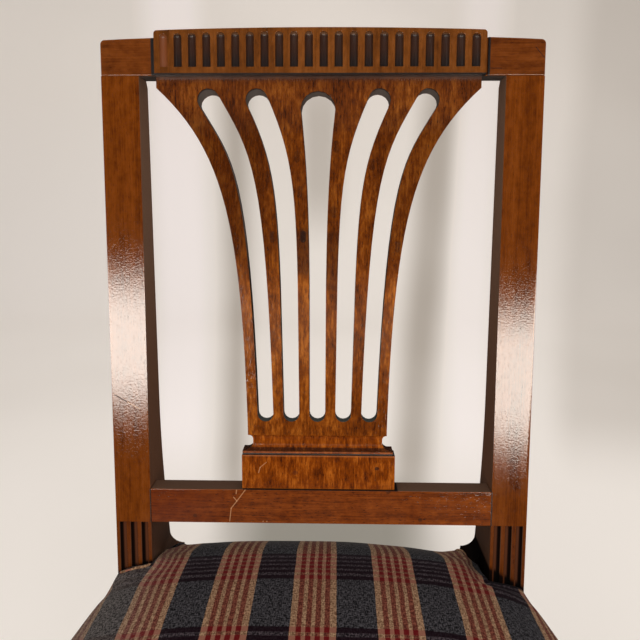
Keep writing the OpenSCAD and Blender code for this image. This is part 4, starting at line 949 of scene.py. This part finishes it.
# Half plans inside the edges of the rails, notched round the posts, and for the dust cover round the legs too
aroundPost = [[sideStart - sheets["edge"], notchFront], [inner, notchFront], [inner, earBack], [ear, earBack],
              [ear, sheetBack], [0, sheetBack]]
hessianHalf = np.array([[0, sheetFront], [sheetSide, sheetFront], [sheetSide, legRear]] + aroundPost)
dustHalf = np.array([[0, sheetFront], [legSide, sheetFront], [legSide, legRear + seat["gap"]],
                     [sheetSide, legRear + seat["gap"]]] + aroundPost)


def flatSheet(name, half, height, sag):
    # A sheet over the whole plan; sag is how far its middle hangs
    shares = ringShares(sheets["shares"], sheets["closer"])
    x, y = drawnIn(closedPlan(half, sheets["points"]), shares)
    z = height - sag * (1 - shares ** sheets["sagPower"]) * np.ones_like(x)
    piece = ringMesh(name, np.stack([x, y, z], -1), top=[[0, seatMid, height - sag]])
    return thicken(piece, sheets["thickness"])


hessian = finishPiece(flatSheet("hessianSheet", hessianHalf, sheets["hessianLevel"], 0.0),
                      plainCloth("hessianWeave", (96, 74, 44), (168, 138, 92), 0.0024), "hessian", "hessian")

dust = finishPiece(flatSheet("dustCover", dustHalf, seat["railLow"], sheets["dustSag"]),
                   plainCloth("cambric", (16, 16, 18), (44, 44, 48), 0.0012), "dust_cloth", "dust_cover")

webs = {
    "width": 0.05, "thickness": 0.0012, "rise": 0.0013, "run": 0.027, "inset": 0.006, "low": seat["railTop"],
    "spare": 0.024, "stepsAlong": 121, "stepsAcross": 13,
}
spaces = np.arange(4) - 1.5  # four strips each way
stripAcross = spaces * 2 * (seat["postInner"] - seat["cove"] - webs["width"] / 2 - sheets["edge"]) / 3
stripAlong = (legRear + shoulder) / 2 + spaces * (shoulder - legRear - webs["width"] - webs["spare"]) / 3
sideReach = railSide(stripAlong + webs["width"] / 2) - webs["inset"]


def webStrips(name, places, crossings, ends, over, lengthwise):
    # Each strip is a grid: its path goes over one crossing strip and under the next. ends gives its reach.
    points, faces, uvs = [], [], []
    for k, (place, (low, high)) in enumerate(zip(places, ends)):
        t = np.linspace(low, high, webs["stepsAlong"])
        s = np.linspace(-webs["width"] / 2, webs["width"] / 2, webs["stepsAcross"])
        knots, levels = [low], [0.0]
        for j, crossing in enumerate(crossings):
            knots += [crossing - webs["run"], crossing + webs["run"]]
            levels += [webs["rise"] * ((j + k + over) % 2)] * 2
        z = np.interp(t, knots + [high], levels + [0.0]) + webs["low"] + webs["thickness"]
        T, S = np.meshgrid(t, s, indexing="ij")
        Z = np.repeat(z[:, None], len(s), 1)
        points.append(np.stack([place + S, T, Z] if lengthwise else [T, place - S, Z], -1).reshape(-1, 3))
        faces += quads(np.arange(T.size).reshape(T.shape) + k * T.size)
        uvs.append(np.stack([S, T], -1).reshape(-1, 2))
    return thicken(newPiece(name, np.vstack(points) + seatLine, faces, np.vstack(uvs)), webs["thickness"])


def juteWeb(name):
    # Herringbone: the slant of the threads turns every few millimetres across the web, with two dark stripes
    material, place = newMaterial(name)
    u, v, _ = place.node("UVMap", {"uv_map": "cloth"}).axes()
    rib = (v + (u + 1.0).maths("PINGPONG", 0.004)).wave(0.0022)
    stripe = abs(u).within(0.016, 0.019, 0.0004)
    tone = rib * 0.3 + place.noise((500, 500, 500), 2)
    colour = (stripe * 0.7).blend(tone.rise(0.2, 0.9).blend((84, 64, 38), (160, 128, 82)), (70, 26, 20))
    return feed(material, colour, 0.85, tone, 0.6, 0.0006)


jute = juteWeb("juteWeb")
frontToBack = (-seat["depth"] + webs["inset"], seat["backReach"] - webs["inset"])
webLong = finishPiece(webStrips("webbingLengthwise", stripAcross, stripAlong, [frontToBack] * 4, 0, True),
                      jute, "webbing", "webbing_lengthwise")
webCross = finishPiece(webStrips("webbingCrosswise", stripAlong, stripAcross, zip(-sideReach, sideReach), 1, False),
                       jute, "webbing", "webbing_crosswise")
print("Webbing, hessian, stuffing and dust cover made")


# Hidden frame and fixings
def plainBeech(name):
    # Unpolished beech: close fibres with short brown flecks
    material, place = newMaterial(name)
    grain = place.moved(Rotation=across)
    fibre = grain.noise((600, 600, 12), 3, 0.6)
    fleck = grain.noise((1100, 500, 160), 2, 0.5).rise(0.62, 0.72)
    colour = (fleck * 0.5).blend(fibre.ramp((0.3, (150, 112, 74)), (0.7, (196, 158, 112))), (110, 72, 44))
    return feed(material, colour, 0.6, fibre, 0.3, 0.0004)


def bareMetal(name, dark, light, rough):
    # Metal with soft blotches of noise
    material, place = newMaterial(name)
    blotch = place.noise((420, 420, 420), 3, 0.6)
    return feed(material, blotch.rise(0.3, 0.7).blend(dark, light), rough + blotch * 0.2, blotch, 0.2, 0.0002,
                Metallic=1.0)


beech = plainBeech("plainBeech")
hiddenFinishes = {
    "_screws": bareMetal("screwSteel", (120, 118, 112), (188, 186, 180), 0.25),
    "_tacks": bareMetal("tackIron", (38, 40, 46), (88, 90, 98), 0.35), "seat_rail": beech, "corner_block": beech,
}
for name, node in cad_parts.items():
    finish = next((hiddenFinishes[part] for part in hiddenFinishes if part in name), None)
    if finish:
        coat(node, finish)
print("Hidden frame finished")


# Stage, lights and background
stage = {"reach": 9.0, "backdrop": 2.4, "curve": 0.9, "height": 4.0, "wall": (222, 215, 208)}


def sweep(values):
    # Profile of floor, curve and wall, carried sideways
    reach, backdrop, curve, height = (values[k] for k in ("reach", "backdrop", "curve", "height"))
    turn = np.linspace(0, np.pi / 2, 24)
    y = np.r_[-reach, backdrop + curve * np.sin(turn), backdrop + curve]
    z = np.r_[0, curve * (1 - np.cos(turn)), height]
    points = np.stack(np.broadcast_arrays([-reach, reach], y[:, None], z[:, None]), -1).reshape(-1, 3)
    piece = newPiece("studioSweep", points, quads(np.arange(len(points)).reshape(-1, 2)))
    return piece


# Painted light and shade on the studio sheet, lighter bands where it is lit more and darker bands as the chair's
# painted shadow: slope, width, softness, how much lighter, how far up each starts, and its slant
sheetLightAndShade = [(-0.211, 0.034, 0.02, 0.9, 0.9, 0), (0.19, 0.026, 0.018, 0.7, 0.9, 0),
         (-0.134, 0.016, 0.022, -1.0, 0.7, 0), (0.124, 0.024, 0.022, -1.0, 0.7, 0.009),
         (-0.02, 0.026, 0.02, -0.7, 3.1, 0), (0.4, 0.085, 0.03, -0.45, 1.0, 0)]


def studioSheet(name):
    # Diffuse paint with a little light of its own towards the camera, so that it stays pale behind the chair
    material, place = newMaterial(name)
    x, y, z = place.axes()
    aside, up = x * 1.12 / (y + 0.85), y + z
    tone = place.noise((0.9, 0.9, 0.9), 2, 0.4) * 0.3 + 0.35
    # Bands of painted light and painted shadow; the deepest painted shadows fade out higher up the wall
    for middle, width, softness, strength, start, slant in sheetLightAndShade:
        paintedBand = (aside - (up - stage["backdrop"]) * slant).within(middle - width, middle + width, softness) \
            * (strength * 0.45) * up.rise(start, start + 0.6)
        tone = tone + (paintedBand if strength > -0.5 else paintedBand * z.rise(1.25, 0.75))
    # Painted shadow of the chair on the floor behind it
    behind = abs(x).rise(0.3, 0.12) * y.within(0.62, 1.12, 0.12)
    colour = tone.ramp((0.0, (176, 167, 157)), (0.5, (233, 226, 219)), (1.0, (250, 242, 240)))
    colour = (behind * 0.8).blend(colour, (118, 114, 102))
    towardsCamera = place.node("LightPath", out="Is Camera Ray")
    return feed(material, colour, 0.95, Specular_IOR_Level=0.0, Emission_Strength=0.22,
                Emission_Color=towardsCamera.blend((0, 0, 0), colour))


floor = sweep(stage)
coat(floor, studioSheet("studioSheet"))
floor.visible_glossy = False

lights = {
    # name: middle, width, height, point looked at, power, and the colour of a lamp that the polish mirrors
    "windowLeft": ((-0.84, -2.0, 0.695), 0.6, 0.46, (-0.2, 0.1, 0.695), 8.1, (1, 0.93, 0.84)),
    "windowRight": ((0.8, -2.0, 0.56), 0.62, 0.49, (0.2, 0.1, 0.6), 8.4, (1, 0.93, 0.83)),
    "room": ((0.0, -2.1, 0.76), 2.6, 0.3, (0.0, 0.1, 0.65), 0.7, (1, 0.78, 0.56)),
    "front": ((0.0, -2.2, 1.5), 2.2, 1.6, (0.0, 0.1, 0.6), 25.0, None),
    "ceiling": ((0.0, -0.4, 2.9), 3.0, 2.6, (0.0, 0.1, 0.4), 30.0, None),
    "rear": ((0.6, 2.6, 2.2), 1.6, 1.2, (0.0, 0.2, 0.5), 16.0, None),
}
for name, (middle, width, height, target, power, mirrored) in lights.items():
    data = bpy.data.lights.new(name, "AREA")
    data.shape, data.size, data.size_y, data.energy = "RECTANGLE", width, height, power
    data.color = mirrored or (1, 1, 1)
    lamp = bpy.data.objects.new(name, data)
    lamp.location = middle
    lamp.rotation_euler = (Vector(target) - Vector(middle)).to_track_quat("-Z", "Y").to_euler()
    lamp.visible_camera = False
    lamp.visible_glossy = mirrored is not None
    linked(lamp)

world = bpy.data.worlds.new("studio")
world.use_nodes = True
tree = world.node_tree
tree.nodes.clear()
path = tree.nodes.new("ShaderNodeLightPath")
cameraRay, glossyRay = (Wire(tree, path.outputs[f"Is {kind} Ray"]) for kind in ("Camera", "Glossy"))
ambient, shown, dim = (
    cameraRay.node("Background", Color=colour, Strength=strength) for colour, strength in (
        ((1.0, 0.97, 0.93, 1), 0.32), (paint(stage["wall"]), 1.0), ((1.0, 0.9, 0.8, 1), 0.015)))
mixed = cameraRay.node("MixShader", Fac=glossyRay, i1=ambient, i2=dim)
mixed = cameraRay.node("MixShader", Fac=cameraRay, i1=mixed, i2=shown)
join(tree.nodes.new("ShaderNodeOutputWorld"), Surface=mixed)
bpy.context.scene.world = world
bpy.context.scene.view_settings.view_transform = "Standard"
print("Stage and lights set")
